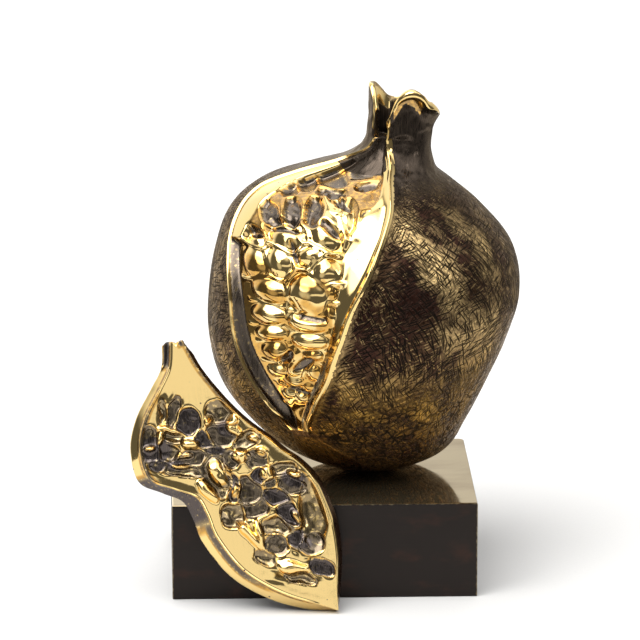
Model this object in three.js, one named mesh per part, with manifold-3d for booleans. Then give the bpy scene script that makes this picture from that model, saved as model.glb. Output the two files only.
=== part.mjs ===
// Cast-brass pomegranate sculpture: an opened fruit screwed down on a rectangular block, with the
// wedge that was cut out of it leaning against the block's front edge.
// Millimetres, +Z up. The origin is the centre of the block's underside; -Y is the front.
import * as THREE from 'three';
import { mergeVertices } from 'three/addons/utils/BufferGeometryUtils.js';
import Module from 'manifold-3d';

const wasm = await Module();
wasm.setup();

// ---- Driving dimensions ----------------------------------------------------------------------
const GAP = 0.3; // clearance between touching pieces
const BUMP_ROUNDNESS = 0.75; // 0.5 makes seeds full ellipsoids, 1 soft mounds

const BLOCK = { width: 120, depth: 90, height: 38.5, edge: 0.6, cornerRadius: 1.8 };

const FRUIT_PLACE = { x: 20.5, y: 10 }; // where the fruit stands on the block
const SCREW = { shankRadius: 2.9, grip: 14, headRadius: 5, headHeight: 6 }; // an M6 cap screw
const KEY_SOCKET = { acrossFlats: 5, depth: 3 }; // in the screw's head
const WASHER = { innerRadius: 3.2, outerRadius: 6, thickness: 1.6 };
const COUNTERBORE = { radius: 7.5, depth: 9 };
const HOLE_RADIUS = 3.2;

// The fruit's body: height above its foot, radius, sideways drift of the centre.
const BODY = [
  [0, 9, 0], [2, 18.5, -0.5], [9, 32.5, -1.5], [21, 43.5, -5], [37, 53.5, -7], [55, 60, -5.5],
  [73, 62.5, -3], [91, 59.5, -3], [106, 50.5, -6], [116, 39, -6], [121.5, 28, -1.5], [126, 19.5, 5],
  [130.5, 14.8, 8.8], [136, 13.2, 10.8],
];
const COLLAR_HEIGHT = 136; // where the body ends and the crown's sepals begin
const CROWN_DRIFT = 0.08; // sideways drift of the crown for each millimetre above the collar
const FACET_COUNT = 6;
const FACET_SWING = 0.008; // share of the radius

// The hollow inside: height, radius, sideways drift, from the throat down to the thick foot.
const HOLLOW = [
  [136, 9.6, 10.8], [129, 9.5, 8], [122, 13, 3.5], [116, 25, -1.5], [104, 43, -2.5], [85, 52.5, -0.5],
  [68, 53.5, -0.5], [48, 49, -2.5], [32, 38, -3], [23, 24, -1.5], [19, 11, 0],
];
const HOLLOW_BACK_SHIFT = 3.5; // the wall is thickest in front, behind the seeds
const HOLLOW_SHIFT_FADE = [110, 130]; // heights over which the hollow returns to the throat's axis

// The cut that opens the fruit: height, angle of its left lip and of its right lip (0 is the front,
// positive to the right). Below the tip the two lines only carry the mesh to the foot.
const LIPS = [
  [0, -62, 0], [12, -48, -14], [24, -37, -26], [37, -43, -20], [50, -50.5, -14], [65, -57, -11],
  [80, -61.5, -7.5], [95, -69, 0.5], [107, -76, 10], [116, -87, 17], [122, -90, 14], [127.5, -82, -1],
  [131.5, -62, -15], [136, -54, -24],
];
// Across the cut: height, width of the rind's cut face on the left, width of the smooth skin on the right.
const ZONES = [
  [24, 3, 3], [34, 13, 3.5], [50, 14, 4], [61, 13, 3.5], [77, 11, 5.5], [88, 12, 9.5], [102, 12.5, 15],
  [110, 15, 13], [116, 15, 11], [122, 8, 9], [128, 4, 4], [134, 2, 2],
];
const CUT = { bedDepth: 5, tipFade: [22, 36], neckDepth: 2.2, neckFade: [122, 132] };
// The rind's cut face slopes into the bed lower down and becomes a flat land at the top.
const RIND = { step: 1, slopeStart: 0.1, landDepth: 0.8, landFade: [93, 101], widestShare: 0.6 };
// The smooth skin over the seeds' right edge: a small step at the lip, then a curve into the bed.
const SKIN = { step: 0.9, fall: 2.8, curve: 1.3, widestShare: 0.35 };
const RIDGE = { rise: 1.2, halfWidth: 1.6, troughDepth: 0.9, troughOffset: 6, troughHalfWidth: 3.5 };
const LIP_BEAD = { rise: 0.4, halfWidth: 1 };

// Seeds in the cut, seen from the front: sideways place, height, half width, half height, tilt, rise.
const FRUIT_SEEDS = [
  [-16.5, 122.5, 6, 2, -5, 2], [-26, 121, 4, 1.6, 10, 1.5], [-18, 119.5, 6.5, 1.8, 5, 2.5],
  [-35.5, 117.5, 4, 1.8, 25, 2], [-41.5, 112.5, 4.5, 3, 20, 3], [-32.5, 114, 4, 5.2, -20, 3.5],
  [-24.5, 114.5, 3.8, 5.4, -25, 4], [-20, 109, 6, 6.5, 35, 5], [-12, 112, 3, 5.5, -10, 3],
  [-47.5, 104, 4.5, 5.8, 10, 3.5], [-36.5, 103.5, 6.5, 3.6, 0, 4], [-38.5, 95.5, 4.8, 6.4, 0, 5],
  [-47.5, 93, 4.5, 6.5, 5, 4.5], [-25.5, 99, 4.2, 4, 40, 4], [-20.5, 94.5, 5.4, 5, 35, 4],
  [-19.5, 87, 3.6, 4.4, 15, 3.5], [-43, 84, 5, 5.2, -15, 4], [-28, 85, 7, 7.2, 0, 5],
  [-43.5, 76, 6, 3.8, 5, 5], [-27, 75.5, 9, 5.6, 0, 5], [-42.5, 70.3, 5.4, 2.8, -15, 4],
  [-42, 65.5, 4.6, 3.2, 0, 4], [-28, 66, 5.6, 3.4, 0, 4.5], [-35.5, 68, 3.4, 5.5, 0, 3.5],
  [-40.5, 59, 4.6, 3.4, 15, 4.5], [-35, 58.5, 2.6, 5, -30, 3], [-29, 56.5, 4.2, 4.4, -35, 4],
  [-35, 52, 4, 2.8, 15, 3.5], [-22.3, 62, 1.8, 4.6, -5, 2.5], [-36.5, 47, 3, 2.4, 0, 3],
  [-30, 48.5, 3, 2.6, 0, 3], [-33.5, 42.5, 2.6, 2.2, 0, 2.5], [-28.5, 44, 2.2, 2.4, 0, 2],
  [-30.5, 38.5, 2.2, 2.6, 0, 2],
];

// The crown's rim: angle, height, radius, and how far the sepal there curls over.
const RIM = [
  [-175, 147.5, 14.5, 0], [-158, 149, 14.5, 0], [-140, 153, 14.5, 0], [-122, 156, 14.5, 0],
  [-98, 157.5, 14, 0], [-82, 157, 13.5, 0], [-66, 153, 13.5, 0], [-52, 147, 13.5, 0],
  [-26, 144, 14.5, 0], [-14, 150.3, 16.5, 0.5], [-2, 154, 19, 1], [11, 155.2, 20, 1],
  [22, 153.5, 20, 0.9], [31, 150.5, 19.5, 0.6], [40, 150, 19, 0.3], [52, 148, 18, 0.2],
  [66, 145.5, 16.5, 0], [84, 144.5, 15.8, 0], [100, 145, 15.5, 0], [118, 144, 15, 0],
  [140, 146.5, 15, 0], [160, 149, 15, 0], [185, 147.5, 14.5, 0],
];
const NOTCH_HEIGHT = 138; // the rim's lowest point, between the two lips
const NOTCH_SIDE = 0.03; // radians over which the notch's sides rise
const CURL_TURN = 1.85; // radians through which a fully curled sepal bends over
const FLARE = { plain: 2, curled: 3 }; // how late the sepals spread outwards
const WALL = { neck: 3.6, rim: 2 };

// The wedge, in its own plane: each rib runs from the lower left edge to the upper right edge,
// from the calyx down to the tip. The plane leans back against the block.
const WEDGE_PLACE = { x: 4.5, y: -65.5 };
const WEDGE_LEAN_DEGREES = 14;
const RIBS = [
  [-67.9, 105.6, -58.5, 106.8], [-68.2, 96, -53, 96.5], [-72.5, 87.3, -46.5, 88], [-78.3, 76, -39.7, 80.5],
  [-80.6, 64, -33, 74.5], [-77.5, 51.5, -25.5, 69], [-68.5, 47, -19.5, 64], [-60.3, 43.5, -13.5, 59.8],
  [-56.3, 36.5, -7.5, 53.5], [-52.4, 27.2, -3.2, 45], [-42, 14.2, 0.3, 35], [-27.4, 5.4, 1.7, 22.5],
  [-13, 1.2, 1.2, 11], [-0.4, 0.3, 0.2, 1.5],
];
// Along the ribs: rib number, width of the cut edge, width of the rind's edge, depth of the bed,
// thickness behind the edge.
const WEDGE_ZONES = [
  [0, 3, 1.5, 0.6, 2.5], [2, 3.6, 1.8, 0.8, 4], [3.5, 4, 2, 2, 5.5], [5, 4.4, 2.2, 2.4, 5.8],
  [7, 5.8, 2.4, 2.4, 5.8], [10, 5.8, 3, 2, 5.5], [12, 4.6, 2.2, 1.4, 4], [13, 0.5, 0.4, 0.2, 1],
];
// How far the outer edges lie behind the face, how round the two edges are, and the distance over
// which the bed settles inside them.
const WEDGE_EDGE = { drop: 4.6, cutCurve: 0.9, rindCurve: 1.4, settle: 3 };
const WEDGE_BACK_CURVE = 0.7; // below 1 the back is fuller than a half circle's sine
const CALYX_NOTCH = { share: 0.5, depth: 2.2, halfWidth: 0.16, ribs: 0.6 };
// Raised seed husks on the wedge's face: x, y, half sizes, tilt, rise.
const WEDGE_BUMPS = [
  [-45, 77.5, 5, 4.6, -35, 2.6], [-66.5, 69, 4.4, 2.2, 5, 3], [-58, 65, 5.4, 2, -8, 2.6],
  [-37, 67, 4.6, 3, 15, 2.2], [-28.5, 63, 4.6, 4, -30, 2.4], [-38.5, 60, 3.4, 2.4, 0, 1.6],
  [-27.7, 53, 3.6, 3.2, 0, 1.8], [-15.4, 35, 1.8, 4.6, 30, 2], [-38, 28.5, 2.4, 7, 35, 2.2],
  [-31.5, 29.8, 2.2, 6.4, 25, 1.8], [-47.2, 54.5, 4.2, 5, 45, 2.6], [-49, 47.5, 5, 3.2, -45, 2],
  [-59.4, 59, 3.8, 2, 0, 1.8], [-20.8, 17, 3.4, 1.8, -15, 1.6], [-15.5, 19.8, 4.8, 2, -15, 2],
];
// Hollows left by seeds, in the same form with a depth.
const WEDGE_PITS = [
  [-64, 79, 2.9, 4, 10, 2.4], [-57, 74, 3.4, 4.4, -15, 2.6], [-44.5, 69, 6.2, 4.4, 20, 2.2],
  [-51.5, 66, 3, 2.6, -40, 2], [-32.7, 56.5, 2.2, 3.8, 30, 2.4], [-21, 58.8, 5.6, 2, -20, 1.6],
  [-18.7, 55, 5.4, 2.6, -10, 2.6], [-18.4, 48, 4.6, 3.4, -40, 2.4], [-24, 44.2, 4, 3.4, -35, 2.6],
  [-40.8, 47, 1.8, 3.8, 10, 1.6], [-34.4, 46.4, 3.8, 4.4, 15, 2.6], [-31.4, 40, 4.8, 2.9, 5, 2.6],
  [-40.8, 37.2, 3.6, 3.4, 0, 2.6], [-18.6, 37.8, 2.8, 5, 35, 2.6], [-23, 32.6, 5.4, 3.2, -15, 2.6],
  [-22.8, 26.2, 4, 3.6, 0, 2.2], [-70, 57, 3, 1.8, 0, 1.8], [-74, 66, 2, 4, -10, 1.8],
  [-67.2, 62.6, 3.8, 2.6, 0, 2.2], [-14, 28, 3.2, 2.8, 0, 2], [-27.3, 20.6, 4.6, 2.2, -35, 1.6],
  [-8.6, 40, 3.4, 10, 5, 2.6], [-12, 14, 3.8, 2, -10, 1.4],
];

// ---- Small helpers -----------------------------------------------------------------------------
const radians = THREE.MathUtils.degToRad;
const mix = THREE.MathUtils.lerp;
const smoothstep = (low, high, value) => THREE.MathUtils.smoothstep(value, low, high);

// Smooth values from a table whose rows start with an ascending key (cubic Hermite).
function fromTable(table, key) {
  let i = 0;
  while (i < table.length - 2 && key > table[i + 1][0]) i += 1;
  const last = table.length - 1;
  const rows = [table[Math.max(i - 1, 0)], table[i], table[i + 1], table[Math.min(i + 2, last)]];
  const span = rows[2][0] - rows[1][0];
  const t = THREE.MathUtils.clamp((key - rows[1][0]) / span, 0, 1);
  return rows[1].slice(1).map((_, column) => {
    const [before, start, end, after] = rows.map((row) => row[column + 1]);
    const startSlope = (span * (end - before)) / (rows[2][0] - rows[0][0]);
    const endSlope = (span * (after - start)) / (rows[3][0] - rows[1][0]);
    const t2 = t * t;
    const t3 = t2 * t;
    return (2 * t3 - 3 * t2 + 1) * start + (t3 - 2 * t2 + t) * startSlope
      + (3 * t2 - 2 * t3) * end + (t3 - t2) * endSlope;
  });
}

// The highest rise of a list of ellipse-shaped bumps at a point, each [x, y, halfX, halfY, tilt, rise].
function bumpRise(bumps, x, y) {
  let rise = 0;
  for (const [centreX, centreY, halfX, halfY, tilt, height] of bumps) {
    const cos = Math.cos(radians(tilt));
    const sin = Math.sin(radians(tilt));
    const across = ((x - centreX) * cos + (y - centreY) * sin) / halfX;
    const along = ((y - centreY) * cos - (x - centreX) * sin) / halfY;
    const inside = 1 - across * across - along * along;
    if (inside > 0) rise = Math.max(rise, height * inside ** BUMP_ROUNDNESS);
  }
  return rise;
}

// A closed body from rings of equal length, capped by a fan at each end.
function loft(rings) {
  const size = rings[0].length;
  const points = rings.flat();
  const faces = [];
  for (let row = 0; row + 1 < rings.length; row += 1) {
    for (let i = 0; i < size; i += 1) {
      const a = row * size + i;
      const b = row * size + ((i + 1) % size);
      faces.push(a, b, b + size, a, b + size, a + size);
    }
  }
  for (const [row, flip] of [[0, true], [rings.length - 1, false]]) {
    const centre = new THREE.Vector3();
    rings[row].forEach((point) => centre.add(point));
    points.push(centre.divideScalar(size));
    for (let i = 0; i < size; i += 1) {
      const a = row * size + i;
      const b = row * size + ((i + 1) % size);
      faces.push(...(flip ? [b, a, points.length - 1] : [a, b, points.length - 1]));
    }
  }
  const geometry = new THREE.BufferGeometry().setFromPoints(points);
  geometry.setIndex(faces);
  return geometry;
}

function toSolid(geometry) {
  const bare = geometry.clone();
  bare.deleteAttribute('normal');
  bare.deleteAttribute('uv');
  const merged = mergeVertices(bare, 1e-4);
  const vertProperties = new Float32Array(merged.attributes.position.array);
  const triVerts = new Uint32Array(merged.index.array);
  return new wasm.Manifold(new wasm.Mesh({ numProp: 3, vertProperties, triVerts }));
}

function toGeometry(solid) {
  const { vertProperties, triVerts } = solid.getMesh();
  const geometry = new THREE.BufferGeometry();
  geometry.setAttribute('position', new THREE.BufferAttribute(vertProperties, 3));
  geometry.setIndex(new THREE.BufferAttribute(triVerts, 1));
  return geometry;
}

// A solid turned about +Z from [radius, height] points, first and last on the axis.
function turned(profile, segments = 20) {
  const geometry = new THREE.LatheGeometry(profile.map(([r, z]) => new THREE.Vector2(r, z)), segments);
  return geometry.rotateX(Math.PI / 2);
}

function named(name, geometry, color, roughness) {
  const material = new THREE.MeshStandardMaterial({ color, roughness, metalness: 1 });
  const mesh = new THREE.Mesh(geometry, material);
  mesh.name = name;
  return mesh;
}

// ---- The fruit ---------------------------------------------------------------------------------
const ROW_STEP = 2.9; // millimetres along the profile
const FOOT_ROWS = 5; // the hidden foot's rows are twice as far apart
const PROFILE_SAMPLES = 2000;
const SLOPE_STEP = 0.5; // height over which the profile's slope is measured
const WINDOW_COLUMNS = 28;
const REST_COLUMNS = 32;
const REST_CROWDING = 1.15; // above 1 the columns are closer together right of the cut
const LIP_COLUMN = 1.2; // width of the column next to a lip
const RIDGE_COLUMNS = [0, 1.3, 3.5]; // columns on the right lip's ridge, in widths of that column
const RIDGE_END = 6; // where the wider columns begin, in the same widths
const CROWN_ROWS = 7;
const CROWN_SLOPE_STEP = 0.02; // share of the crown over which its slope is measured
const HOLLOW_EVEN_ROWS = 3; // rows over which the hollow's columns become evenly spaced

// How far the surface lies below the uncut skin: the seeds and the faces of the cut, its raised lips
// and the shallow trough beyond the right one. The side distances are measured inwards from the lips.
function cutDepth(height, fromLeft, fromRight, x) {
  const fade = smoothstep(...CUT.tipFade, height);
  const bead = LIP_BEAD.rise * Math.exp(-((fromLeft / LIP_BEAD.halfWidth) ** 2));
  const ridge = RIDGE.rise * Math.exp(-((fromRight / RIDGE.halfWidth) ** 2));
  const troughPlace = (fromRight + RIDGE.troughOffset) / RIDGE.troughHalfWidth;
  const trough = RIDGE.troughDepth * Math.exp(-(troughPlace ** 2));
  if (fromLeft <= 0 || fromRight <= 0) return fade * (trough - bead - ridge);
  const [rindWidth, skinWidth] = fromTable(ZONES, height);
  const width = fromLeft + fromRight;
  const rind = Math.min(rindWidth, RIND.widestShare * width);
  const skin = Math.min(skinWidth, SKIN.widestShare * width);
  const flat = smoothstep(...RIND.landFade, height);
  let depth = CUT.bedDepth - bumpRise(FRUIT_SEEDS, x, height);
  if (fromLeft < rind) {
    const slope = (CUT.bedDepth - RIND.step) * smoothstep(RIND.slopeStart, 1, fromLeft / rind);
    depth = Math.min(depth, mix(Math.min(fromLeft, RIND.step) + slope, RIND.landDepth, flat));
  }
  if (fromRight < skin) {
    const step = SKIN.step * Math.min(fromRight, 1);
    depth = Math.min(depth, step + SKIN.fall * (fromRight / skin) ** SKIN.curve);
  }
  const limit = mix(CUT.bedDepth, CUT.neckDepth, smoothstep(...CUT.neckFade, height));
  return fade * (Math.min(depth, limit) - bead - ridge);
}

// Angles of the mesh's columns at a height: they follow the two lips of the cut.
function columnAngles(height, radius) {
  const [left, right] = fromTable(LIPS, height).map(radians);
  const span = right - left;
  const edge = Math.min(LIP_COLUMN / radius, span / WINDOW_COLUMNS);
  const angles = [left];
  for (let i = 0; i <= WINDOW_COLUMNS - 2; i += 1) {
    angles.push(mix(left + edge, right - edge, i / (WINDOW_COLUMNS - 2)));
  }
  angles.push(...RIDGE_COLUMNS.map((place) => right + edge * place));
  const restStart = right + edge * RIDGE_END;
  const restEnd = left + 2 * Math.PI - edge;
  for (let i = 0; i < REST_COLUMNS; i += 1) {
    angles.push(mix(restStart, restEnd, (i / (REST_COLUMNS - 1)) ** REST_CROWDING));
  }
  return angles;
}

// Heights of the body's rows, evenly spaced along its profile from the foot to the collar.
function bodyRows() {
  const rows = [];
  const sample = COLLAR_HEIGHT / PROFILE_SAMPLES;
  let travelled = 0;
  let [lastRadius] = fromTable(BODY, 0);
  for (let i = 1; i <= PROFILE_SAMPLES; i += 1) {
    const height = sample * i;
    const [radius] = fromTable(BODY, height);
    travelled += Math.hypot(radius - lastRadius, sample);
    lastRadius = radius;
    const step = rows.length < FOOT_ROWS ? 2 * ROW_STEP : ROW_STEP;
    if (travelled > step && height < COLLAR_HEIGHT - ROW_STEP / 2) {
      rows.push(height);
      travelled = 0;
    }
  }
  return [0, ...rows, COLLAR_HEIGHT];
}

// One ring of the body's outer surface, with the cut's relief sunk along the profile's normal.
function bodyRing(height) {
  const [radius, drift] = fromTable(BODY, height);
  const above = Math.min(height + SLOPE_STEP, COLLAR_HEIGHT);
  const below = Math.max(height - SLOPE_STEP, 0);
  const narrowing = fromTable(BODY, below)[0] - fromTable(BODY, above)[0];
  const slopeLength = Math.hypot(above - below, narrowing);
  const outward = (above - below) / slopeLength;
  const upward = narrowing / slopeLength;
  const [left, right] = fromTable(LIPS, height).map(radians);
  const swing = FACET_SWING * Math.sin((Math.PI * height) / COLLAR_HEIGHT);
  return columnAngles(height, radius).map((angle) => {
    const full = radius * (1 + swing * Math.cos(FACET_COUNT * angle));
    const x = drift + full * Math.sin(angle);
    const aroundLeft = angle > Math.PI ? angle - 2 * Math.PI - left : angle - left;
    const depth = cutDepth(height, aroundLeft * radius, (right - angle) * radius, x);
    const reach = full - depth * outward;
    const z = height - depth * upward;
    return new THREE.Vector3(drift + reach * Math.sin(angle), -reach * Math.cos(angle), z);
  });
}

// The crown's outer wall: share 0 is the collar, 1 the rim.
function crownOutline(angle, share) {
  const wrapped = THREE.MathUtils.euclideanModulo(angle + Math.PI, 2 * Math.PI) - Math.PI;
  const [left, right] = fromTable(LIPS, COLLAR_HEIGHT).map(radians);
  const inNotch = smoothstep(left, left + NOTCH_SIDE, wrapped)
    * (1 - smoothstep(right - NOTCH_SIDE, right, wrapped));
  const degrees = THREE.MathUtils.radToDeg(wrapped);
  const [rimHeight, rimRadius, curl] = fromTable(RIM, degrees < RIM[0][0] ? degrees + 360 : degrees);
  const [collarRadius] = fromTable(BODY, COLLAR_HEIGHT);
  const spread = share ** mix(FLARE.plain, FLARE.curled, curl);
  const climb = mix(share, Math.sin(CURL_TURN * share) / Math.sin(CURL_TURN), curl);
  return {
    inNotch,
    radius: mix(collarRadius, mix(rimRadius, collarRadius, inNotch), spread),
    height: mix(COLLAR_HEIGHT, mix(rimHeight, NOTCH_HEIGHT, inNotch), climb),
  };
}

// A point of the crown's outer wall, or of its inner wall, which lies a wall's thickness inside.
function crownPoint(angle, share, inner) {
  const { radius, height, inNotch } = crownOutline(angle, share);
  const above = crownOutline(angle, share + CROWN_SLOPE_STEP);
  const below = crownOutline(angle, Math.max(share - CROWN_SLOPE_STEP, 0));
  const climb = above.height - below.height;
  const spread = above.radius - below.radius;
  const length = Math.hypot(climb, spread);
  const wall = inner ? mix(WALL.neck, WALL.rim, share) : CUT.neckDepth * inNotch;
  const reach = radius - (wall * climb) / length;
  const top = height + (wall * spread) / length;
  const drift = BODY.at(-1)[2] + CROWN_DRIFT * (height - COLLAR_HEIGHT);
  return new THREE.Vector3(drift + reach * Math.sin(angle), -reach * Math.cos(angle), top);
}

// The whole fruit as one skin: up the outside, over the crown's rim and down into the hollow.
function fruitGeometry() {
  const rings = bodyRows().map(bodyRing);
  const columns = columnAngles(COLLAR_HEIGHT, BODY.at(-1)[1]);
  for (let row = 1; row <= CROWN_ROWS; row += 1) {
    const share = row / CROWN_ROWS;
    rings.push(columns.map((angle) => crownPoint(angle, share, false)));
  }
  for (let row = CROWN_ROWS; row > 0; row -= 2) {
    const share = row / CROWN_ROWS;
    rings.push(columns.map((angle) => crownPoint(angle, share, true)));
  }
  HOLLOW.forEach(([height, radius, drift], row) => {
    const evenness = Math.min(row / HOLLOW_EVEN_ROWS, 1);
    const shift = HOLLOW_BACK_SHIFT * (1 - smoothstep(...HOLLOW_SHIFT_FADE, height));
    rings.push(columns.map((angle, i) => {
      const even = columns[0] + (2 * Math.PI * i) / columns.length;
      const place = mix(angle, even, evenness);
      return new THREE.Vector3(drift + radius * Math.sin(place), shift - radius * Math.cos(place), height);
    }));
  });
  return loft(rings);
}

function fruit() {
  const holeEnd = SCREW.grip + 1;
  const hole = turned([[0, -1], [HOLE_RADIUS, -1], [HOLE_RADIUS, holeEnd], [0, holeEnd]]);
  const solid = toSolid(fruitGeometry()).subtract(toSolid(hole));
  const mesh = named('fruit', toGeometry(solid), 0x4a3526, 0.42);
  mesh.position.set(FRUIT_PLACE.x, FRUIT_PLACE.y, BLOCK.height + GAP);
  return mesh;
}

// ---- The block and its hidden screw --------------------------------------------------------------
function block() {
  const { width, depth, height, edge, cornerRadius } = BLOCK;
  const halfWidth = width / 2 - edge;
  const halfDepth = depth / 2 - edge;
  const outline = new THREE.Shape();
  outline.moveTo(-halfWidth, -halfDepth);
  outline.lineTo(halfWidth, -halfDepth);
  outline.lineTo(halfWidth, halfDepth - cornerRadius);
  const arcX = halfWidth - cornerRadius;
  const arcY = halfDepth - cornerRadius;
  outline.absarc(arcX, arcY, cornerRadius, 0, Math.PI / 2);
  outline.lineTo(-arcX, halfDepth);
  outline.absarc(-arcX, arcY, cornerRadius, Math.PI / 2, Math.PI);
  outline.closePath();
  const bevel = { bevelEnabled: true, bevelSize: edge, bevelThickness: edge, bevelSegments: 2 };
  const body = new THREE.ExtrudeGeometry(outline, { depth: height - 2 * edge, curveSegments: 5, ...bevel });
  body.translate(0, 0, edge);
  const bore = turned([
    [0, -1], [COUNTERBORE.radius, -1], [COUNTERBORE.radius, COUNTERBORE.depth],
    [HOLE_RADIUS, COUNTERBORE.depth], [HOLE_RADIUS, height + 1], [0, height + 1],
  ]);
  bore.translate(FRUIT_PLACE.x, FRUIT_PLACE.y, 0);
  return named('block', toGeometry(toSolid(body).subtract(toSolid(bore))), 0x38281f, 0.4);
}

function washer() {
  const { innerRadius, outerRadius, thickness } = WASHER;
  const ring = [
    [innerRadius, 0], [outerRadius, 0], [outerRadius, thickness], [innerRadius, thickness],
    [innerRadius, 0],
  ];
  const mesh = named('fruit_washer', turned(ring), 0xb5a642, 0.4);
  mesh.position.set(FRUIT_PLACE.x, FRUIT_PLACE.y, COUNTERBORE.depth - GAP - thickness);
  return mesh;
}

function screw() {
  const headTop = COUNTERBORE.depth - 2 * GAP - WASHER.thickness;
  const headBottom = headTop - SCREW.headHeight;
  const shankTop = BLOCK.height + GAP + SCREW.grip;
  const blank = turned([
    [0, headBottom], [SCREW.headRadius, headBottom], [SCREW.headRadius, headTop],
    [SCREW.shankRadius, headTop], [SCREW.shankRadius, shankTop], [0, shankTop],
  ]);
  const keyRadius = KEY_SOCKET.acrossFlats / Math.sqrt(3);
  const key = new THREE.CylinderGeometry(keyRadius, keyRadius, 2 * KEY_SOCKET.depth, 6);
  key.rotateX(Math.PI / 2).translate(0, 0, headBottom);
  const solid = toSolid(blank).subtract(toSolid(key));
  const mesh = named('fruit_screw', toGeometry(solid), 0x8c8f92, 0.35);
  mesh.position.set(FRUIT_PLACE.x, FRUIT_PLACE.y, 0);
  return mesh;
}

// ---- The wedge -----------------------------------------------------------------------------------
const NUMBERED_RIBS = RIBS.map((rib, number) => [number, ...rib]);
const WEDGE_ROWS = 58;
const FACE_COLUMNS = 26;
const BACK_COLUMNS = 9;

// Height of the wedge's face at a point, where side distances are measured along the rib.
function wedgeFace(x, y, fromLeft, fromRight, cutWidth, rindWidth, bed) {
  if (fromLeft < cutWidth) return -WEDGE_EDGE.drop * (1 - fromLeft / cutWidth) ** WEDGE_EDGE.cutCurve;
  if (fromRight < rindWidth) return -WEDGE_EDGE.drop * (1 - fromRight / rindWidth) ** WEDGE_EDGE.rindCurve;
  const inward = Math.min(fromLeft - cutWidth, fromRight - rindWidth);
  const relief = bumpRise(WEDGE_BUMPS, x, y) - bumpRise(WEDGE_PITS, x, y);
  return smoothstep(0, WEDGE_EDGE.settle, inward) * (relief - bed);
}

// One closed rib of the wedge: over the face from left to right, and back round the rind behind it.
function wedgeRing(ribNumber) {
  const [leftX, leftY, rightX, rightY] = fromTable(NUMBERED_RIBS, ribNumber);
  const [cutWidth, rindWidth, bed, thickness] = fromTable(WEDGE_ZONES, ribNumber);
  const length = Math.hypot(rightX - leftX, rightY - leftY);
  const at = (share, z) => new THREE.Vector3(mix(leftX, rightX, share), mix(leftY, rightY, share), z);
  const distances = [0, cutWidth / 2];
  for (let i = 0; i <= FACE_COLUMNS; i += 1) {
    distances.push(mix(cutWidth, length - rindWidth, i / FACE_COLUMNS));
  }
  distances.push(length - rindWidth / 2, length);
  const notchFade = 1 - smoothstep(0, CALYX_NOTCH.ribs, ribNumber);
  const ring = distances.map((distance) => {
    const share = distance / length;
    const point = at(share, 0);
    point.z = wedgeFace(point.x, point.y, distance, length - distance, cutWidth, rindWidth, bed);
    const offset = (share - CALYX_NOTCH.share) / CALYX_NOTCH.halfWidth;
    point.y -= notchFade * CALYX_NOTCH.depth * Math.exp(-(offset ** 2));
    return point;
  });
  for (let i = 1; i < BACK_COLUMNS; i += 1) {
    const share = 1 - i / BACK_COLUMNS;
    const fullness = Math.sin(Math.PI * share) ** WEDGE_BACK_CURVE;
    ring.push(at(share, -WEDGE_EDGE.drop - thickness * fullness));
  }
  return ring;
}

// The wedge leans back against the block and stands with its lowest point on the ground.
function wedge() {
  const rings = [];
  for (let row = 0; row <= WEDGE_ROWS; row += 1) {
    rings.push(wedgeRing(((RIBS.length - 1) * row) / WEDGE_ROWS));
  }
  const mesh = named('wedge', loft(rings.reverse()), 0xc9a458, 0.18);
  mesh.rotation.x = Math.PI / 2 - radians(WEDGE_LEAN_DEGREES);
  const lowest = new THREE.Box3().setFromObject(mesh, true).min.z;
  mesh.position.set(WEDGE_PLACE.x, WEDGE_PLACE.y, -lowest);
  return mesh;
}

const group = new THREE.Group();
group.add(block(), fruit(), wedge(), washer(), screw());
export default group;
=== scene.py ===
"""An opened pomegranate in cast brass on its block, with the wedge that was cut out of it.

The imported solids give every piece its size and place. The fruit and the wedge are rebuilt here as
finely divided castings of the same form, and the block, the screw and the washer keep their solids
and get their finishes. Sizes are in millimetres until a mesh is made, and meshes are in metres.
"""

import logging
import math
from dataclasses import dataclass, field
from enum import Enum

import bpy
import numpy as np
from mathutils import Euler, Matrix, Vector, noise


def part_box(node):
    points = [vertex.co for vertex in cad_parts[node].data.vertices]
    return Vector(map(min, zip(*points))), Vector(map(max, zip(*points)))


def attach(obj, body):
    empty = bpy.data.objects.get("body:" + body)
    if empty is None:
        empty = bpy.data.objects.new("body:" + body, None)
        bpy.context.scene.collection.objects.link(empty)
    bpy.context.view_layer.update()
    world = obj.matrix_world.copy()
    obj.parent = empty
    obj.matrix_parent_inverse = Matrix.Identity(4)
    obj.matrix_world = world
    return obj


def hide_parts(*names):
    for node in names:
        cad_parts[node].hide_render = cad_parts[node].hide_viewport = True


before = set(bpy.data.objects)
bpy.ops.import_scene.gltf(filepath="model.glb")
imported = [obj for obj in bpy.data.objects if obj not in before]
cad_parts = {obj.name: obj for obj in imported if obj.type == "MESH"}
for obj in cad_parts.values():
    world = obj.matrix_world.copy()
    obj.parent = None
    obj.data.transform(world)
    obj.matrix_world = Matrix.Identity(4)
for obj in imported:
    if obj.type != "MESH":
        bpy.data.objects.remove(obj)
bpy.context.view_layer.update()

LOG = logging.getLogger("sculpture")
MM = 0.001

Array = np.ndarray
Socket = bpy.types.NodeSocket
Material = bpy.types.Material
Colour = tuple[float, float, float, float]
Triple = tuple[float, float, float]
Table = tuple[tuple[float, ...], ...]
Pair = tuple[float, float]
# A range of values and the range that it is mapped onto: low, high, start, end.
Ramp = tuple[float, float, float, float]


class Mark(str, Enum):
    """What a finish can ask about a point of a casting, by the name of its point attribute."""

    POLISH = "polish"
    TARNISH = "tarnish"
    SCORING = "scoring"
    RUBBING_AND_HIGHLIGHT = "rubbing_and_highlight"
    SHADE = "shade"
    SMOOTH = "smooth"
    AROUND = "around"
    UP = "up"


class Patches(str, Enum):
    """The three sets of patches that scored strokes can lie in, by the channel that draws them."""

    FIRST = "Red"
    SECOND = "Green"
    THIRD = "Blue"


Marks = dict[Mark, Array | float]


# ---- Shared helpers ----


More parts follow.
